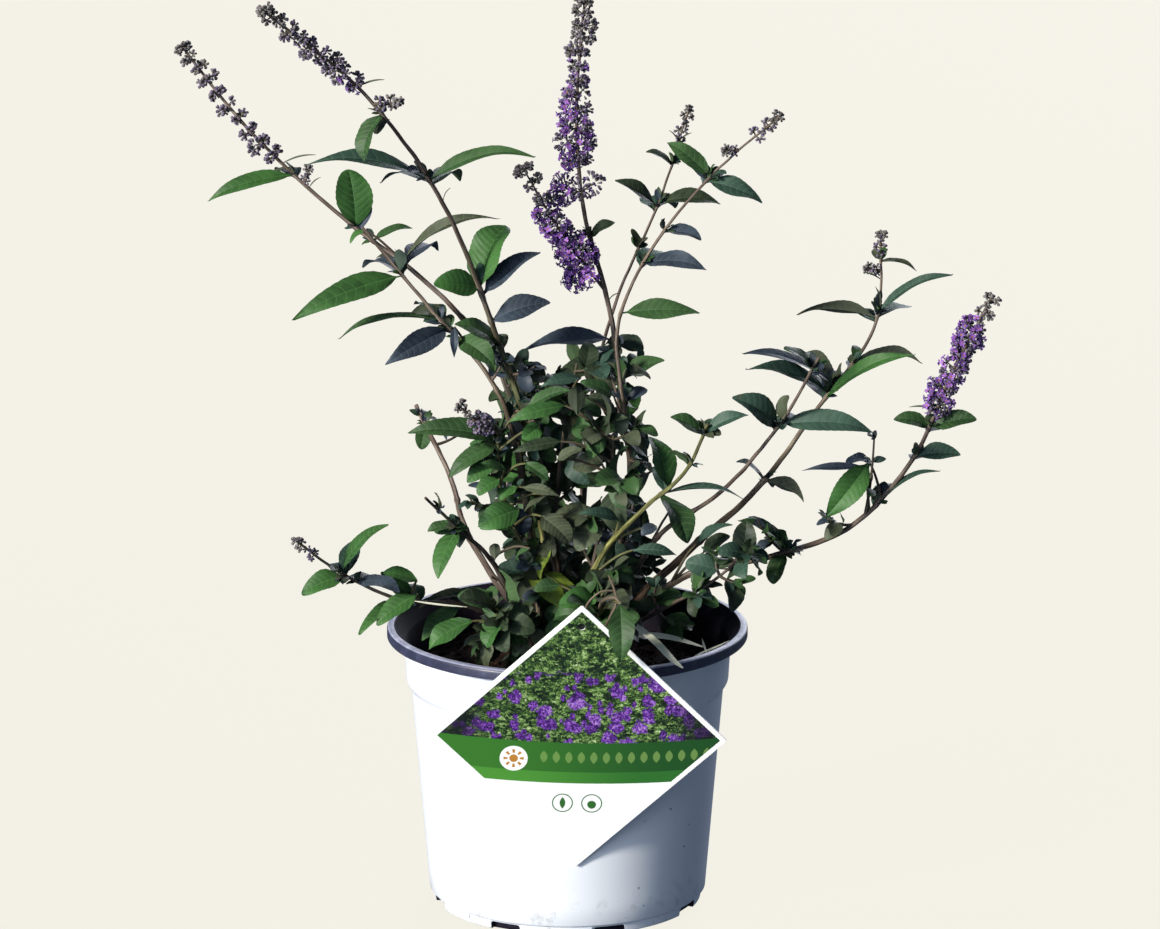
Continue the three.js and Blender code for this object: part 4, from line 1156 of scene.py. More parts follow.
def blade(length, width, draw, veins=0, columns=2):
    # a closed thin leaf: x sideways, y along it, z up. Marks are 0 upper, 1 vein, 2 under side
    forms = ("arch", "fold", "twist", "bend", "hook", "phase", "ripple")
    arch, fold, twist, bend, hook, phase, ripple = (lerp(*leafShape[key], draw()) for key in forms)
    rows = rowsOf(veins, length)
    stalk = min(leafShape["stalk"], 0.035 * length)
    sweep = leafShape["sweep"] * min(0.85, width / length)

    def spot(share, puff, tooth, j):
        # a point on the upper side, and the one under it
        edgesRib = veins and abs(j) == 1
        out = 0.09 if edgesRib else (abs(j) - 0.55) / (columns - 0.55) if veins and j else abs(j) / columns
        at = min(share + sweep * out ** 1.3 * min(1, share / 0.13) * (1 - share) ** 0.7, 1)
        half = width / 2 * outline(at, width / length) * (1 + (tooth if out == 1 else 0))
        half += stalk * (1 - at) ** 3 + 0.06
        x = half * out
        if edgesRib:
            x = min(x, leafShape["rib"] * (1.2 - at)) if half > 1.6 else half * 0.35
        rise = fold * x + puff * leafShape["puff"] * width * sin(pi * min(1, out * 1.05)) ** 0.7
        rise += ripple * width * sin(phase + 9 * at + (2 if j > 0 else 0)) * out * out
        if veins and abs(j) <= 1:
            rise -= 0.16 * (1 - at)  # the rib lies in a groove
        angle = twist * (at - 0.3)
        x = copysign(x, j)
        middle = arch * length * 4 * at * (1 - at) - hook * length * max(0, (at - 0.65) / 0.35) ** 2
        sideways = x * cos(angle) - rise * sin(angle) + bend * length * at * at
        height = x * sin(angle) + rise * cos(angle) + middle
        thick = leafShape["thick"] * (1 - 0.4 * out)
        if abs(j) <= (1 if veins else 0):
            thick += 0.45 * (1 - at)
        below = height - thick * min(1, length / 30 + 0.3)
        return Vector((sideways, at * length, height)), Vector((sideways, at * length, below))

    top, low = [], []
    for share, puff, tooth, _ in rows:
        upper, under = zip(*(spot(share, puff, tooth, j) for j in range(-columns, columns + 1)))
        top.append(upper)
        low.append(under)
    wide = 2 * columns + 1
    points = [p for row in top for p in row] + [p for row in low for p in row[1:-1]]
    start = len(rows) * wide

    def lowAt(i, j):
        return i * wide + j if j in (0, wide - 1) else start + i * (wide - 2) + j - 1

    faces, marks = [], []
    for i in range(len(rows) - 1):
        for j in range(wide - 1):
            onRib = veins and j in (columns - 1, columns)
            faces.append([i * wide + j, i * wide + j + 1, (i + 1) * wide + j + 1, (i + 1) * wide + j])
            marks.append(1 if rows[i][3] or onRib else 0)
            faces.append([lowAt(i, j), lowAt(i + 1, j), lowAt(i + 1, j + 1), lowAt(i, j + 1)])
            marks.append(1 if onRib else 2)
    tip = len(points)
    end = top[-1][columns]
    points.append(Vector((end.x + bend * 0.05 * length, length, (0.02 - hook) * length)))
    last = len(rows) - 1
    for j in range(wide - 1):
        faces += [[last * wide + j, last * wide + j + 1, tip], [lowAt(last, j + 1), lowAt(last, j), tip]]
        marks += [0, 2]
    faces.append([lowAt(0, j) for j in range(wide)] + [j for j in range(wide - 2, 0, -1)])
    marks.append(2)
    return points, faces, marks


mainLeaves = []
smallLeaves = {tone: [] for tone in leafTones}

# where the scene is looked at from, and at what
view = {"eye": (6.65, -2500, 847.75), "target": (6.65, 0, 235.09), "sensor": 36, "lens": 152.84}

# patches of open sky among the canes: left, right, low and high, where a line of sight from the
# front crosses the pot's middle plane
sky = [(41, 106, 274, 323), (46, 62, 258, 274), (-75, -49, 222, 250), (-56, -44, 184, 203),
       (-51, -30, 190, 200), (39, 63, 186, 232), (70, 106, 207, 248), (-60, 60, 304, 340),
       (-20, -3, 291, 304), (10, 24, 227, 238), (-9, 2, 195, 206), (-34, -26, 206, 214),
       (2, 10, 244, 250), (22, 32, 232, 241)]


def inSky(point):
    # whether a point stands before open sky, as seen from the front
    eye = Vector(view["eye"])
    x, z = (eye + (point - eye) * eye.y / (eye.y - point.y)).xz
    return any(left < x < right and low < z < high for left, right, low, high in sky)


def leafSpots(root, direction, up, length, width):
    # the room that a leaf takes: points along its rib and on both sides
    side = direction.cross(up)
    spots = [root + direction * length * s + up * 0.3 * s * (1 - s) * length for s in (0.3, 0.5, 0.7, 0.88)]
    spots += [root + direction * length * 0.42 + side * x * width * 0.36 for x in (-1, 1)]
    return [(spot, 0.6) for spot in spots]


def addLeaf(mass, root, direction, length, roll, tone, wider=1.0, sure=False, grade=0):
    # grade 0 is one of the repeated shapes, 1 has a few veins, and 2 has all
    up = upperFace(direction, roll)
    width = leafWidth(length) * wider
    spots = leafSpots(root, direction, up, length, width)
    if not sure and (not isFree(mass["name"], spots) or inSky(root + direction * length * 0.8)):
        return
    claim(mass["name"], spots)
    if grade:
        mainLeaves.append((root, direction, up, length, width, tone, grade))
    else:
        smallLeaves[tone].append((root, direction, up, length))


# stems and twigs are gathered as lines with a thickness and an age at each point

class Strands:
    def __init__(self):
        self.points, self.edges, self.thick, self.age = [], [], [], []

    def add(self, points, radii, ages):
        start = len(self.points)
        self.points += [p * mm for p in points]
        self.thick += [r * mm for r in radii]
        self.age += ages
        self.edges += [(start + k, start + k + 1) for k in range(len(points) - 1)]

    def lines(self, name):
        mesh = bpy.data.meshes.new(name)
        mesh.from_pydata(self.points, self.edges, [])
        for label, values in (("thick", self.thick), ("age", self.age)):
            mesh.attributes.new(label, "FLOAT", "POINT").data.foreach_set("value", values)
        return bpy.data.objects.new(name, mesh)


woodLines, twigLines = Strands(), Strands()


def leafShares(row):
    return sorted({leaf[0] for leaf in row.get("leaves", [])})


def knotsOf(row, path):
    # where leaves leave the cane, and where they once did on its bare stretch
    first = row.get("bare", 0.3)
    spare = int(first * path.reach / wood["knotEvery"])
    return sorted(leafShares(row) + [first * (k + 1) / (spare + 1) for k in range(spare)])


def wobble(spot):
    # three plain noises, because the noise module's own vector differs from run to run
    return Vector([noise.noise(spot + Vector((0, step, 0))) for step in (0, 17.3, 41.9)])


def addWood(row, path, lines):
    steps = int(path.reach / wood["step"])
    knots = knotsOf(row, path)
    sway = dice(len(row["name"]) * 31 + int(path.reach))
    seed = Vector((sway() * 50, sway() * 50, 0))
    points, radii, ages = [], [], []
    for k in range(steps + 1):
        share = k / steps
        near = min((abs(share - knot) * path.reach for knot in knots), default=99)
        swelling = 1 + wood["knot"] * exp(-(near / wood["spread"]) ** 2)
        stray = wobble(seed + Vector((0, 0, share * path.reach * wood["swayEvery"])))
        points.append(path.at(share) + stray * wood["sway"])
        radii.append(radiusAt(row, share) * wood["slim"] * swelling)
        ages.append(lerp(*row["age"], share))
    lines.add(points, radii, ages)
    claim(row["name"], zip(points, radii))


def addStem(stem, steps, radius, age):
    # a thin stem along a path, from its radius at the foot to that at the tip
    shares = [k / steps for k in range(steps + 1)]
    twigLines.add([stem.at(share) for share in shares], [lerp(*radius, share) for share in shares],
                  [age] * len(shares))


def addTwig(root, direction, length, radius, age):
    shares = [k / 6 for k in range(7)]
    sag = upperFace(direction, 0) * wood["sag"] * length
    twigLines.add([root + direction * length * s - sag * 4 * s * (1 - s) for s in shares],
                  [lerp(radius, radius * 0.5, s) for s in shares], [age] * 7)


# blossom

blossom = {
    # a bud's and a floret's length, how many a cluster has at least and by its size, and the turn
    # from one to the next
    "bud": 3.2, "floret": 4.6, "least": 5, "crowd": 0.5, "turn": 2.39996,
    # more florets are open on the left. More whorls than the canes ask for stand on a spike, and
    # gather towards its foot
    "lean": 0.85, "more": 1.2, "gather": 1.15, "sideGather": 0.92,
}
budSprays, floretSprays = [], []


def addCluster(centre, out, along, radius, opened, tip, draw):
    # a dome of buds and florets round the end of a short branch: the shares that are open, and that
    # are the dull buds of the tip
    count = int(blossom["least"] + blossom["crowd"] * radius * radius)
    side = along.cross(out).normalized()
    for k in range(count):
        lift = 1 - 1.35 * (k + 0.5) / count
        flat = sqrt(max(0.0, 1 - lift * lift))
        turn = k * blossom["turn"] + draw() * 0.9
        around = along * cos(turn) + side * sin(turn)
        heading = (out * (lift + 0.1) + around * flat).normalized()
        up = upperFace(heading, 360 * draw())
        reach = radius * (0.8 + 0.35 * draw())
        if draw() < opened:
            size = blossom["floret"] * (0.75 + 0.4 * draw())
            floretSprays.append((centre + heading * max(0.2, reach + 1.4 - size), heading, up, size,
                                 int(draw() * 4)))
        else:
            size = min(blossom["bud"] * (0.7 + 0.45 * draw()), reach + 1.2)
            budSprays.append((centre + heading * max(0.0, reach - size * 0.9), heading, up, size,
                              int(draw() * 3) + (3 if draw() < tip else 0)))


def addCyme(root, out, along, radius, opened, tip, draw):
    # one side of a whorl: a main cluster, and two lesser ones beside it where the spike is broad
    side = along.cross(out).normalized()
    parts = [(0.0, 0.56, 0.44)]
    if radius > 5.5:
        parts += [(turn, 0.5, 0.34) for turn in (-1.0, 1.0) if draw() < 0.8]
    for turn, far, size in parts:
        heading = (out * cos(turn) + side * sin(turn)).normalized()
        centre = root + heading * radius * far * (0.9 + 0.2 * draw())
        addCluster(centre, heading, along, radius * size, opened, tip, draw)
        twigLines.add([root, root.lerp(centre, 0.6), centre + heading * 0.4], [0.45, 0.4, 0.32],
                      [0.7] * 3)


def addWhorl(mass, path, share, radius, turn, height, bloom, draw):
    # two clusters that face each other across the stem
    along, centre = path.along(share), path.at(share)
    for half in (0, 1):
        out = offStem(along, turn + half * pi, 62 + 20 * draw())
        opened = bloom(height) * (1 - blossom["lean"] * (out.x + 0.35))
        tip = clamp(height * 2.2 - 1.1 + 0.3 * (radius < 5))
        addCyme(centre, out, along, radius * (0.68 + 0.55 * draw()), opened, tip, draw)
        claim(mass["name"], [(centre + out * radius * 0.6, min(5, radius * 0.6))])


def addSpike(mass, path, start, below, above, whorls, bloom, draw, gather):
    # whorls that turn by a quarter from one to the next, and a tuft of buds at the end
    count = max(3, round(whorls * blossom["more"]))
    for k in range(count):
        height = 1 - (1 - k / (count - 1)) ** gather
        share = lerp(start, 1 - 2 / path.reach, height)
        radius = lerp(below, above * 1.15, height) * (0.82 + 0.36 * draw())
        turn = (k % 2) * pi / 2 + 0.5 * (draw() - 0.5)
        addWhorl(mass, path, share, radius, turn, height, bloom, draw)
    along = path.along(1)
    for k in range(5):
        heading = offStem(along, k * 2.4, 12 + 14 * k)
        budSprays.append((path.at(1) - along * 1.5, heading, upperFace(heading, 40), 3.0, 3 + k % 3))


def addSideSpike(mass, path, row, bloom, draw):
    share, length, heading, lean, *spike = row
    root = path.at(share)
    tip = root + aim(heading, lean) * length
    middle = root.lerp(tip, 0.5) + Vector((0, 0, -length * 0.05))
    stem = Path([root, middle, tip])
    addStem(stem, max(4, int(length / 4)), (1.0, 0.45), 0.68)
    addSpike(mass, stem, 0.2, *spike, bloom, draw, blossom["sideGather"])


def inBud(height):
    return 0


# the share of a spike that is open at a height from 0 at its foot to 1 at its tip
inFlower = {
    "tall_bloom": lambda h: 0.42 * clamp(2.1 - 3.3 * h),
    "right_bloom": lambda h: 0.62 * clamp(3.4 - 3.8 * h) * clamp(0.5 + 4 * h),
    "left_bloom": lambda h: 0.22 * clamp(1 - 5 * h),
}
sideFlower = {"tall_bloom": lambda h: 0.75 * clamp(2.7 - 3.4 * h)}


# growth, in the same order and by the same draws as the solids

def nodePairs(start, nodes, draw):
    # (share, turn) of each twig or leaf, in pairs that turn by a quarter from one to the next
    for i in range(nodes):
        share = lerp(start, 0.97, i / (nodes - 1))
        turn = (0.5 if i % 2 else 0) * pi + 0.6 * (draw() - 0.5)
        for half in (0, 1):
            yield share, turn + half * pi


def toneFor(mass, chance):
    tones = mass["row"].get("tones", "deep slate teal olive").split()
    return tones[int(chance() * len(tones))]


def addTuft(mass, root, along, turn, chance, tone=None, size=(4.5, 8.5), count=3):
    # tiny young leaves where a leaf meets its stem
    for _ in range(count):
        direction = offStem(along, turn + 1.4 * (chance() - 0.5), lerp(22, 62, chance()))
        addLeaf(mass, root + direction * 0.8, direction, lerp(*size, chance()), 40 * chance(),
                tone or toneFor(mass, chance), 0.9)


sprig = {
    # how its leaves vary in length, spread from the twig, droop and turn to be seen
    "size": (0.55, 1.0), "spread": (42, 76), "droop": 0.6, "roll": (0, 80), "wider": 1.35,
    # past which depth they face the back, and from which length they have veins
    "behind": 30, "veined": 13.5,
    # where the two pairs stand, how often a tuft does, the twig's radius, and a leaf on a cane's sprig
    "pairs": (0.38, 0.72), "tuft": 0.4, "twig": 0.95, "leaf": 13,
}


def addSprig(mass, root, direction, length, size, draw):
    # a twig with two pairs of leaves, and small ones at its tip
    chance = mass["chance"]
    tip = root + direction * length
    spots = [(root + direction * length * share, 0.9) for share in (0.35, 0.65, 1.0)]
    if not isFree(mass["name"], spots) or inSky(tip):
        return
    claim(mass["name"], spots)
    addTwig(root, direction, length * 1.03, sprig["twig"], mass["row"]["age"][1])
    for i, share in enumerate(sprig["pairs"]):
        for half in (0, 1):
            turn = (half + 0.5 * i + 0.1 * draw()) * pi
            at = root + direction * share * length
            reach = size * (0.85 + 0.3 * draw()) * lerp(*sprig["size"], chance())
            heading = offStem(direction, turn, lerp(*sprig["spread"], chance()))
            heading = (heading - Vector((0, 0, sprig["droop"] * chance()))).normalized()
            roll = lerp(*sprig["roll"], (draw() + chance()) / 2) * (1 if at.y < sprig["behind"] else -1)
            addLeaf(mass, at, heading, reach, roll, toneFor(mass, chance), sprig["wider"],
                    grade=int(reach > sprig["veined"]))
            if chance() < sprig["tuft"]:
                addTuft(mass, at, direction, turn, chance, count=1)
    for half in (0, 1):
        heading = offStem(direction, (half + 0.25 * chance()) * pi, 38)
        addLeaf(mass, tip, heading, size * (0.35 + 0.3 * chance()), 45 * chance(), toneFor(mass, chance))
    addTuft(mass, tip, direction, chance() * 6.28, chance, count=2)


def nearestStem(point):
    # how far from a point the nearest stem passes, from below, the share along it, and its mass
    best = []
    for mass in masses.values():
        for k in range(3, 31):
            spot = mass["path"].at(k / 30)
            far = (spot - point).length + 2 * max(0.0, spot.z - point.z + 4)
            best.append((far, k / 30, mass))
    return min(best, key=lambda found: found[:2])


masses = {}
for number, row in enumerate(canes + leafyCanes + thickets):
    path = Path(row["points"])
    addWood(row, path, woodLines if "bare" in row else twigLines)
    # one draw is shared with the solids, and the other is for what they leave out
    masses[row["name"]] = {"name": row["name"], "row": row, "path": path,
                           "draw": dice(101 + 7 * number), "chance": dice(2003 + 13 * number)}

# the canes' own leaves and spikes
for mass in masses.values():
    row, path, chance = mass["row"], mass["path"], mass["chance"]
    for share, length, heading, lean, roll, tone, *wider in row.get("leaves", []):
        direction = aim(heading, lean)
        start = path.at(share) + direction * radiusAt(row, share) * 0.6
        addLeaf(mass, start, direction, length, roll, tone, *wider, sure=True,
                grade=2 if length > 12 else 0)
    if "spike" in row:
        bloom = inFlower.get(row["name"], inBud)
        addSpike(mass, path, *row["spike"], bloom, chance, blossom["gather"])
        for share, radius in row.get("whorls", []):
            addWhorl(mass, path, share, radius, 0.3, 0.2, bloom, chance)
    for spike in row.get("sideSpikes", []):
        addSideSpike(mass, path, spike, sideFlower.get(row["name"], inBud), chance)

# leaves that hang from a twig of their own: foot, tip, roll, tone and width
loneLeaves = [
    # right, and low in front
    ((156, -32, 244), (134, -42, 217), 62, "fresh", 14),
    ((154, -30, 241), (121, -30, 238), 40, "slate", 4.5),
    ((67, -30, 200), (85, -36, 213), 30, "teal", 8), ((71, -24, 194), (84, -20, 203), 40, "dark", 8),
    ((100, -24, 194), (88, -30, 203), 30, "deep", 6.5), ((103, -26, 198), (110, -30, 204), 40, "deep", 8),
    ((84, -24, 185), (88, -26, 182), 20, "dark", 4.5), ((90, -20, 195), (99, -24, 192), 40, "dark", 5),
    ((77, -20, 193), (71, -26, 188), 20, "deep", 6), ((34, -46, 201), (57, -44, 198), 50, "teal", 6.5),
    ((46, -52, 215), (38, -56, 212), 30, "slate", 7), ((27, -100, 187), (28, -113, 161), 0, "deep", 12.7),
    ((-49, -68, 169), (-72, -74, 158), 30, "fresh", 13), ((-32, -70, 170), (-42, -78, 159), 0, "fresh", 14),
    ((-31, -60, 172), (-33, -66, 196), 45, "fresh", 15), ((-38, -62, 177), (-56, -66, 182), 60, "deep", 10),
    ((-77, -62, 189), (-94, -66, 195), 40, "fresh", 9), ((-77, -64, 182), (-98, -72, 169), 30, "fresh", 12),
    ((-4, -60, 186), (-17, -64, 185), 40, "deep", 7.5),
    ((-20, -30, 181), (1, -50, 170), 10, "lime", 13), ((-12, -22, 182), (5, -30, 171), 10, "lime", 10),
    ((-8, -24, 197), (-14, -30, 181), 0, "lime", 8), ((-48, -36, 174), (-77, -40, 170), 20, "olive", 8),
    ((-19, -54, 204), (-27, -50, 197), 30, "deep", 5.5), ((-21, -30, 200), (-34, -34, 199), 40, "dark", 5),
    # on the left canes
    ((-105, 20, 356), (-113, 16, 350), 10, "fresh", 5), ((-58, -20, 313), (-58, -26, 298), 0, "slate", 4),
    ((-51, -50, 214), (-68, -52, 212), 40, "deep", 9), ((-37, -56, 199), (-37, -58, 208), 0, "olive", 5.5),
    # the middle, from its top down
    ((23, -10, 284), (8, -14, 290), 40, "dark", 6), ((24, -26, 278), (7, -30, 287), 45, "deep", 8),
    ((7, -20, 286), (-14, -30, 285), 45, "teal", 6.5), ((-20, -34, 274), (1, -44, 285), 45, "deep", 9),
    ((-1, -40, 276), (-29, -50, 269), 50, "fresh", 8.5), ((5, -46, 273), (5, -50, 289), 0, "dark", 8.5),
    ((10, -34, 279), (23, -34, 277), 50, "dark", 5), ((31, -20, 262), (40, -16, 250), 0, "slate", 8),
    ((16, -40, 265), (30, -50, 273), 40, "dark", 7), ((22, -30, 256), (28, -34, 248), 0, "dark", 5.5),
    ((7, -50, 264), (16, -56, 254), 10, "deep", 8), ((-14, -36, 264), (-23, -42, 259), 60, "fresh", 9),
    ((-3, -44, 258), (-28, -52, 255), 50, "dark", 6.5), ((-5, -48, 249), (7, -52, 256), 40, "olive", 7),
    ((-21, -46, 247), (-10, -54, 240), 30, "deep", 7.5),
    ((-32, -40, 242), (-44, -46, 248), 50, "deep", 5.5),
    ((-35, -44, 238), (-46, -50, 232), 30, "fresh", 9), ((-26, -44, 234), (-34, -50, 229), 0, "fresh", 10),
    ((-25, -44, 222), (-45, -54, 216), 55, "fresh", 14), ((-23, -44, 234), (-3, -54, 232), 45, "olive", 5.5),
    ((-10, -50, 231), (-22, -56, 224), 0, "olive", 5), ((27, -50, 218), (6, -60, 226), 50, "teal", 6.5),
    ((-13, -46, 219), (1, -56, 208), 30, "olive", 13),
]

for base, tip, roll, tone, width in loneLeaves:
    base, tip = Vector(base), Vector(tip)
    far, share, mass = nearestStem(base)
    if far < 40:
        start = mass["path"].at(max(share - 0.06, 0.04))
        bend = start.lerp(base, 0.6) + Vector((0, 0, 0.1 * far))
        addStem(Path([start, bend, base]), 8, (0.9, 0.5), mass["row"]["age"][1])
    reach = (tip - base).length
    addLeaf(mass, base, (tip - base).normalized(), reach, roll, tone, width / leafWidth(reach),
            sure=True, grade=2 if reach > 14 else 1)

# dry stems in front: points, thickness and age
dryStems = [
    ([(16, -66, 172), (18, -84, 184), (24, -97, 189.5), (27.4, -100, 187)], 1.0, 0.25),
    ([(19.3, -90, 172), (24.9, -90, 184.3), (24, -87, 191), (21.4, -82, 197)], 0.8, 0.22),
    ([(9, -84, 179), (11.2, -88, 184.8), (17, -88, 190), (24, -87, 190.5)], 0.7, 0.22),
]

for points, thick, age in dryStems:
    addStem(Path(points), 14, (thick, thick * 0.72), age)
print("main leaves and spikes placed")

# what a cane's leaf brings with it, from a length on: a leaf behind it, and a young leaf above it
behindLeaf = {"from": 23, "swing": (-30, 30), "lean": (-50, -70), "size": 0.72}
youngLeaf = {"from": 35, "spread": 40, "length": (9, 14), "roll": 20}

for mass in masses.values():
    row, path, draw, chance = mass["row"], mass["path"], mass["draw"], mass["chance"]
    step = 3 / path.reach
    for share, length, heading, *_ in row.get("leaves", []):
        swing = lerp(*behindLeaf["swing"], draw())
        lean = lerp(*behindLeaf["lean"], draw())
        turn, young = draw(), draw()
        if length < behindLeaf["from"]:
            continue
        addLeaf(mass, path.at(share - step), aim(heading + swing, lean), length * behindLeaf["size"], 0,
                toneFor(mass, chance), grade=2)
        if length >= youngLeaf["from"]:
            direction = offStem(path.along(share), turn * 2 * pi, youngLeaf["spread"])
            addLeaf(mass, path.at(share + step), direction, lerp(*youngLeaf["length"], young),
                    youngLeaf["roll"], toneFor(mass, chance))
    for share, length, heading, lean in row.get("sprigs", []):
        addSprig(mass, path.at(share), aim(heading, lean), length, sprig["leaf"], draw)
    if "twig" in row:
        for share, turn in nodePairs(0.3, row["nodes"], draw):
            direction = offStem(path.along(share), turn, 62)
            addSprig(mass, path.at(share), direction, row["twig"] * (1.1 - 0.5 * share),
                     lerp(*row["size"], share), draw)
    elif "nodes" in row:
        for share, turn in nodePairs(row["bare"] + 0.06, row["nodes"], draw):
            addLeaf(mass, path.at(share), offStem(path.along(share), turn, 65), lerp(*row["size"], share),
                    20 * draw(), toneFor(mass, chance), grade=2)


# finer growth that the solids leave out: more sprigs in the thickets, shoots low on the canes
# (how far apart, and between which left, right, low and high), and tufts at the knots
finer = {
    "sprigs": (0.16, 0.98), "shootEvery": 15, "middle": (-46, 36, 165, 290), "bareTuft": 0.4,
    "shoots": "tall_bloom left_bloom upper_left lower_left inner_left front_bud back_bud".split(),
}

for mass in masses.values():
    row, path, chance = mass["row"], mass["path"], mass["chance"]
    for k in range(row.get("more", 0)):
        share = lerp(*finer["sprigs"], (k + chance()) / row["more"])
        direction = offStem(path.along(share), 2.4 * k + chance(), 45 + 35 * chance())
        reach = row["twig"] * (1.1 - 0.5 * share) * (0.4 + 0.6 * chance())
        addSprig(mass, path.at(share), direction, reach, lerp(*row["size"], share) * (0.6 + 0.5 * chance()),
                 chance)
    if row["name"] in finer["shoots"]:
        left, right, low, high = finer["middle"]
        for k in range(int(path.reach / finer["shootEvery"])):
            share = min((k + 0.6) * finer["shootEvery"] / path.reach, 1)
            spot = path.at(share)
            if left < spot.x < right and low < spot.z < high:
                direction = offStem(path.along(share), chance() * 6.28, 50 + 30 * chance())
                addSprig(mass, spot, direction, 7 + 9 * chance(), 10 + 9 * chance(), chance)
for mass in masses.values():
    row, path, chance = mass["row"], mass["path"], mass["chance"]
    for share in leafShares(row):
        along, turn = path.along(share), chance() * 6.28
        for half in (0, 1):
            addTuft(mass, path.at(share), along, turn + half * pi, chance)
    for share in knotsOf(row, path):
        if share < row.get("bare", 0) and chance() < finer["bareTuft"]:
            addTuft(mass, path.at(share), path.along(share), chance() * 6.28, chance, "olive", (3, 5.5), 2)
print(len(mainLeaves), "large leaves,", sum(map(len, smallLeaves.values())), "small leaves")


# bark

def barkTree():
    tree = Growth("bark", ["Bark"], Sides="Int", Ridge="Float")
    spine = tree.node("GeometryNodeMeshToCurve", None, {"Mesh": tree.given("Geometry")})
    spine = tree.keep(spine, "along", tree.node("GeometryNodeSplineParameter", output="Length"))
    rim = tree.node("GeometryNodeCurvePrimitiveCircle", {"mode": "RADIUS"},
                    {"Resolution": tree.given("Sides"), "Radius": 1.0})
    rim = tree.keep(rim, "around", tree.node("GeometryNodeSplineParameter", output="Factor"))
    skin = tree.node("GeometryNodeCurveToMesh", None, {"Curve": spine, "Profile Curve": rim,
                     "Scale": tree.named("thick"), "Fill Caps": True})
    turn = tree.named("around") * (2 * pi)
    spot = tree.node("ShaderNodeCombineXYZ", None, {
        "X": turn.of("COSINE") * 1.6, "Y": turn.of("SINE") * 1.6, "Z": tree.named("along") * 90})
    ridge = tree.node("ShaderNodeTexNoise", None, {"Vector": spot, "Scale": 1.5, "Detail": 3.0})
    push = (ridge - 0.5) * tree.given("Ridge") * tree.named("thick")
    offset = tree.node("ShaderNodeVectorMath", {"operation": "SCALE"}, {
        0: tree.node("GeometryNodeInputNormal"), "Scale": push})
    skin = tree.node("GeometryNodeSetPosition", None, {"Geometry": skin, "Offset": offset})
    skin = tree.node("GeometryNodeSetShadeSmooth", None, {"Geometry": skin, "Shade Smooth": True})
    tree.close(skin)
    return tree


bark = barkTree()
woodPiece = bark.grow(woodLines.lines("caneWood"), {"Sides": 14, "Ridge": 0.5,
                      "Bark": barkFinish("caneBark")})
settle(woodPiece, "cane_bark", *[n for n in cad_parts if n.startswith("cane_")])
twigPiece = bark.grow(twigLines.lines("twigs"), {"Sides": 7, "Ridge": 0.35,
                      "Bark": barkFinish("twigBark", 0.7)})
settle(twigPiece, "cane_bark")


# sprays of repeated shapes

def sprayTree(labels):
    tree = Growth("sprays", labels, Shapes="Collection")
    tree.close(tree.strew(tree.given("Geometry"), tree.named("kind", "INT"),
                          tree.named("turn", "FLOAT_VECTOR"), tree.named("size")))
    return tree


def sprays(name, rows):
    # a point for each repeated shape: where it is, how it is turned, its length and its kind
    mesh = bpy.data.meshes.new(name)
    mesh.from_pydata([row[0] * mm for row in rows], [], [])
    turns = [Matrix((direction.cross(up), direction, up)).transposed().to_euler()
             for _, direction, up, _, _ in rows]
    columns = [("turn", "FLOAT_VECTOR", "vector", [angle for turn in turns for angle in turn]),
               ("size", "FLOAT", "value", [row[3] * mm for row in rows]),
               ("kind", "INT", "value", [row[4] for row in rows])]
    for label, kind, field, values in columns:
        mesh.attributes.new(label, kind, "POINT").data.foreach_set(field, values)
    return bpy.data.objects.new(name, mesh)


def addSmallLeaf(heap, number, draw):
    length = 20
    wide = lerp(*leafShape["small"], number / (leafShape["kinds"] - 1))
    points, faces, marks = blade(length, length * wide, draw)
    heap.add([p * (1 / length) for p in points], faces, marks)


def makeLeaves():
    parts = ("upper", "vein", "under")
    finishes = {tone: [leafFinish(tone, part) for part in parts] for tone in leafTones}
    # the large leaves, each with its own veins, teeth and twist
    draw = dice(909)
    heaps = {tone: Heap() for tone in leafTones}
    for root, direction, up, length, width, tone, grade in mainLeaves:
        veins, columns = (5, 3) if grade == 1 else (9 if length > 34 else 7 if length > 20 else 5, 5)
        points, faces, marks = blade(length, width, draw, veins, columns)
        side = direction.cross(up)
        heaps[tone].add([root + side * p.x + direction * p.y + up * p.z for p in points], faces, marks)
    for tone, heap in heaps.items():
        if heap.points:
            settle(heap.piece(tone + "Leaves", finishes[tone], sharp=1.0), "leaves")
    # the small ones, repeated from a few shapes
    tree = sprayTree(parts)
    shapes = repeated("leaf", 77, [addSmallLeaf] * leafShape["kinds"])
    for tone, rows in smallLeaves.items():
        rows = [(*row, int(draw() * leafShape["kinds"])) for row in rows]
        if rows:
            values = {"Shapes": shapes, **dict(zip(parts, finishes[tone]))}
            settle(tree.grow(sprays(tone + "YoungLeaves", rows), values), "leaves")


makeLeaves()


# buds and florets, each a metre long before its size is given

def tube(heap, rings, sides, marks, tip=None, bow=0.0):
    # rings of (place, radius) along y
    turns = [-2 * pi * k / sides for k in range(sides)]
    heap.sleeve([[Vector((radius * cos(turn) + bow * y * y, y, radius * sin(turn)))
                  for turn in turns] for y, radius in rings], marks, tip)


def addBud(heap, number, draw):
    # the first three are dark, and the others belong to a spike's tip
    fat = 0.23 + 0.05 * draw()
    crest = 0 if number < 3 else 2
    bow = 0.12 * (draw() - 0.5)
    rings = [(0.0, 0.06), (0.22, 0.09), (0.36, fat * 0.8), (0.56, fat * 0.85), (0.74, fat * 1.15),
             (0.92, fat * 0.85)]
    tube(heap, rings, 5, [1, 1, 1, crest, crest, crest], Vector((bow, 1, 0)), bow)


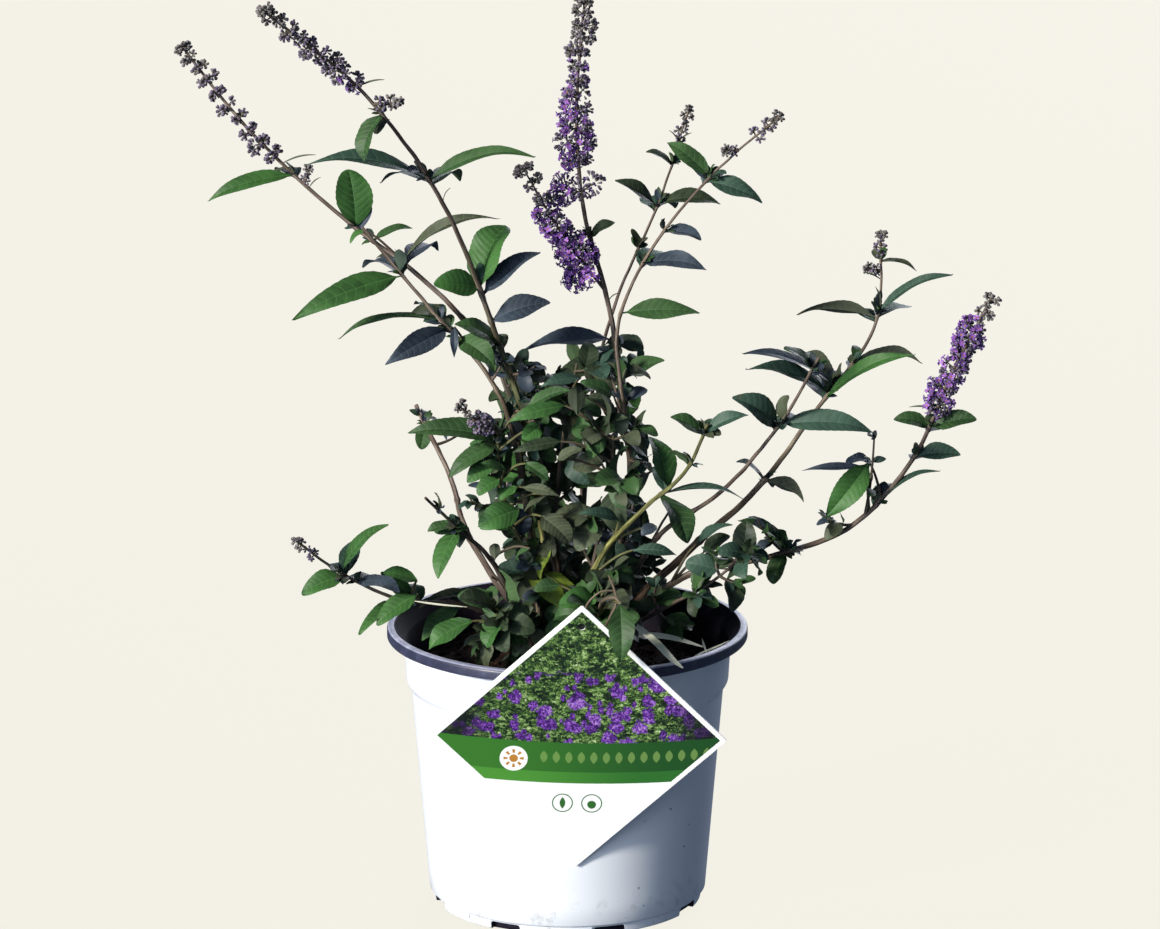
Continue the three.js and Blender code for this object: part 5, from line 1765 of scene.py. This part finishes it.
def addFloret(heap, number, draw):
    # a slim tube with four lobes, of which the last shape's are deeper in colour
    tube(heap, [(0.0, 0.06), (0.25, 0.09), (0.7, 0.085), (0.86, 0.12)], 5, [3, 1, 1, 2])
    up = Vector((0, 1, 0))
    for lobe in range(4):
        turn = (lobe + 0.5 + 0.2 * (draw() - 0.5)) * pi / 2
        out = Vector((cos(turn), 0, sin(turn)))
        side = Vector((-sin(turn), 0, cos(turn)))
        cup = 0.05 + 0.12 * draw()
        reach = 0.4 + 0.06 * draw()
        base, middle = up * 0.85 + out * 0.07, up * (0.88 + cup) + out * reach * 0.62
        points = [base - side * 0.08, base + side * 0.08, middle + side * 0.17,
                  up * (0.86 + cup * 0.6) + out * reach, middle - side * 0.17]
        heap.prism(points, [p - up * 0.035 for p in points], 0 if number < 3 else 1)


def makeBlossom():
    # each bud and petal finish runs from its look in shade to its look in light, and its last colour is
    # painted highlight in flecks
    dark = petalFinish("darkBud", "#4b4055", "#70647b", "#a093a7")
    dull = petalFinish("dullBud", "#524c4d", "#777071", "#a09998")
    calyx = petalFinish("greyCalyx", "#4a4a45", "#6a695f", "#8b897c")
    bright = petalFinish("violetPetal", "#6c4193", "#9460b8", "#b88fd4")
    deep = petalFinish("deepPetal", "#4f3773", "#6b4d94", "#8c6db0")
    throat = petalFinish("floretEye", "#6f4722", "#9b612d", "#af813f")
    kinds = [("flowerBuds", "flower_buds", budSprays, repeated("bud", 55, [addBud] * 6),
              {"Bud": dark, "Calyx": calyx, "Tip bud": dull}),
             ("florets", "blossom", floretSprays, repeated("floret", 63, [addFloret] * 4),
              {"Petal": bright, "Deep petal": deep, "Throat": throat, "Calyx": calyx})]
    for name, slot, rows, shapes, finishes in kinds:
        piece = sprayTree(list(finishes)).grow(sprays(name, rows), {"Shapes": shapes, **finishes})
        settle(piece, slot)


makeBlossom()
print(len(budSprays), "buds,", len(floretSprays), "florets")


# thin bracts below the spikes, and dry straw in the pot

def addStrip(heap, points, width, face=Vector((0, -0.3, 1))):
    # a closed blade along points that narrows to both ends
    count = len(points)
    rings = []
    for k, point in enumerate(points):
        along = (points[min(k + 1, count - 1)] - points[max(k - 1, 0)]).normalized()
        side = along.cross(face).normalized()
        up = side.cross(along)
        half = width / 2 * sin(pi * clamp(0.1 + 0.87 * k / (count - 1))) ** 0.7
        rings.append([point - side * half, point - up * 0.25 * half, point + side * half,
                      point - up * (0.25 * half + 0.2)])
    heap.sleeve(rings, [0] * count)


straws = [
    # points along the blade, then its width
    ([(31, -55, 166), (37, -63, 164), (46, -73, 159), (54, -82, 152.5), (59, -88, 150)], 4.6),
    ([(28, -56, 158), (42, -56, 158.5), (56, -54, 156), (70, -52, 151)], 5.6),
    ([(-78, -69, 180), (-65, -72, 179), (-51, -73, 178)], 1.8),
    ([(64, -60, 147), (70, -52, 148), (78, -44, 149), (84, -37, 150)], 1.3),
    ([(72, -50, 147.5), (71, -43, 149), (70, -36, 151)], 1.1),
    ([(58, -64, 146), (68, -56, 146.5), (80, -46, 146)], 1.0),
]


# cane, share, length, heading and lean
bracts = [
    ("upper_left", 0.775, 19, 12, 5), ("upper_left", 0.72, 9, 40, 10), ("left_bloom", 0.815, 14, 12, 0),
    ("left_bloom", 0.76, 8, 160, 10), ("right_bloom", 0.765, 15, 176, 10), ("right_bloom", 0.77, 8, 10, 10),
    ("back_bud", 0.925, 9, 130, 10), ("back_bud", 0.93, 8, 30, 5), ("front_bud", 0.9, 9, 195, 10),
    ("tall_bloom", 0.5, 10, 40, 30), ("right_long", 0.9, 11, 160, 10), ("left_bloom", 0.6, 10, 60, 20),
]


def makeBracts():
    heap = Heap()
    for name, share, length, heading, lean in bracts:
        root, direction = masses[name]["path"].at(share), aim(heading, lean)
        up = upperFace(direction, 40)
        addStrip(heap, [root + direction * length * k / 9 + up * 0.16 * length * sin(2.6 * k / 9)
                        for k in range(10)], 1.3, face=up)
    settle(heap.piece("spikeBracts", [leafFinish("olive", "under")], sharp=0.8), "leaves")


makeBracts()


def makeStraws():
    heap = Heap()
    for points, width in straws:
        path = Path(points)
        addStrip(heap, [path.at(k / 12) for k in range(13)], width)
    settle(heap.piece("dryStraw", [strawFinish()], sharp=0.8), "leaves",
           *[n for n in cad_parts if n.startswith("leaves_")])


makeStraws()


# camera, floor and light

studio = {
    "backdrop": "#f1eee3", "skylight": "#aec6e8", "ambient": 0.21,
    # each sun's name, turn to the right of the front, rise, strength, width and colour
    "suns": [("key", -50, 22, 5.2, 9, "#fff8ec"), ("fill", -38, 6, 2.4, 40, "#dde8f8"),
             ("back", 160, 20, 1.8, 40, "#eef2ff")],
}


def makeCamera():
    data = bpy.data.cameras.new("camera")
    data.sensor_width, data.lens = view["sensor"], view["lens"]
    camera = bpy.data.objects.new("camera", data)
    camera.location = Vector(view["eye"]) * mm
    gaze = Vector(view["target"]) * mm - camera.location
    camera.rotation_euler = gaze.to_track_quat("-Z", "Y").to_euler()
    bpy.context.collection.objects.link(camera)
    bpy.context.scene.camera = camera


def makeFloor(backdrop):
    # a pale sheet that glows in the backdrop's colour, so that it has no edge
    heap = Heap()
    lathe(heap, [(0, 0), (9000, 0)], 64, 0)
    heap.faces = [face[::-1] for face in heap.faces]
    finish = Finish("paleFloor", colour=(0, 0, 0, 1), roughness=0.9, gloss=0.1)
    finish.shader.inputs["Emission Color"].default_value = backdrop
    finish.shader.inputs["Emission Strength"].default_value = 1.0
    floor = heap.piece("floor", [finish])
    floor.visible_diffuse = floor.visible_glossy = False


def makeLight(backdrop):
    world = bpy.data.worlds.new("studio")
    world.use_nodes = True
    board = Board(world.node_tree)
    ground = world.node_tree.nodes["Background"]
    seen = board.node("ShaderNodeLightPath", output="Is Camera Ray")
    board.feed(ground.inputs["Color"], board.node("ShaderNodeMix", {"data_type": "RGBA"}, {
        "Factor_Float": seen, "A_Color": paint(studio["skylight"]), "B_Color": backdrop}, "Result_Color"))
    board.feed(ground.inputs["Strength"], seen * (1 - studio["ambient"]) + studio["ambient"])
    bpy.context.scene.world = world

    for name, turn, rise, power, soft, colour in studio["suns"]:
        lamp = bpy.data.lights.new(name, "SUN")
        lamp.energy, lamp.angle, lamp.color = power, radians(soft), paint(colour)[:3]
        light = bpy.data.objects.new(name, lamp)
        around, up = radians(turn), radians(rise)
        toward = Vector((sin(around) * cos(up), -cos(around) * cos(up), sin(up)))
        light.rotation_euler = toward.to_track_quat("Z", "Y").to_euler()
        bpy.context.collection.objects.link(light)
    bpy.context.scene.view_settings.view_transform = "Standard"


makeCamera()
makeFloor(paint(studio["backdrop"]))
makeLight(paint(studio["backdrop"]))
print("camera, floor and lights placed")
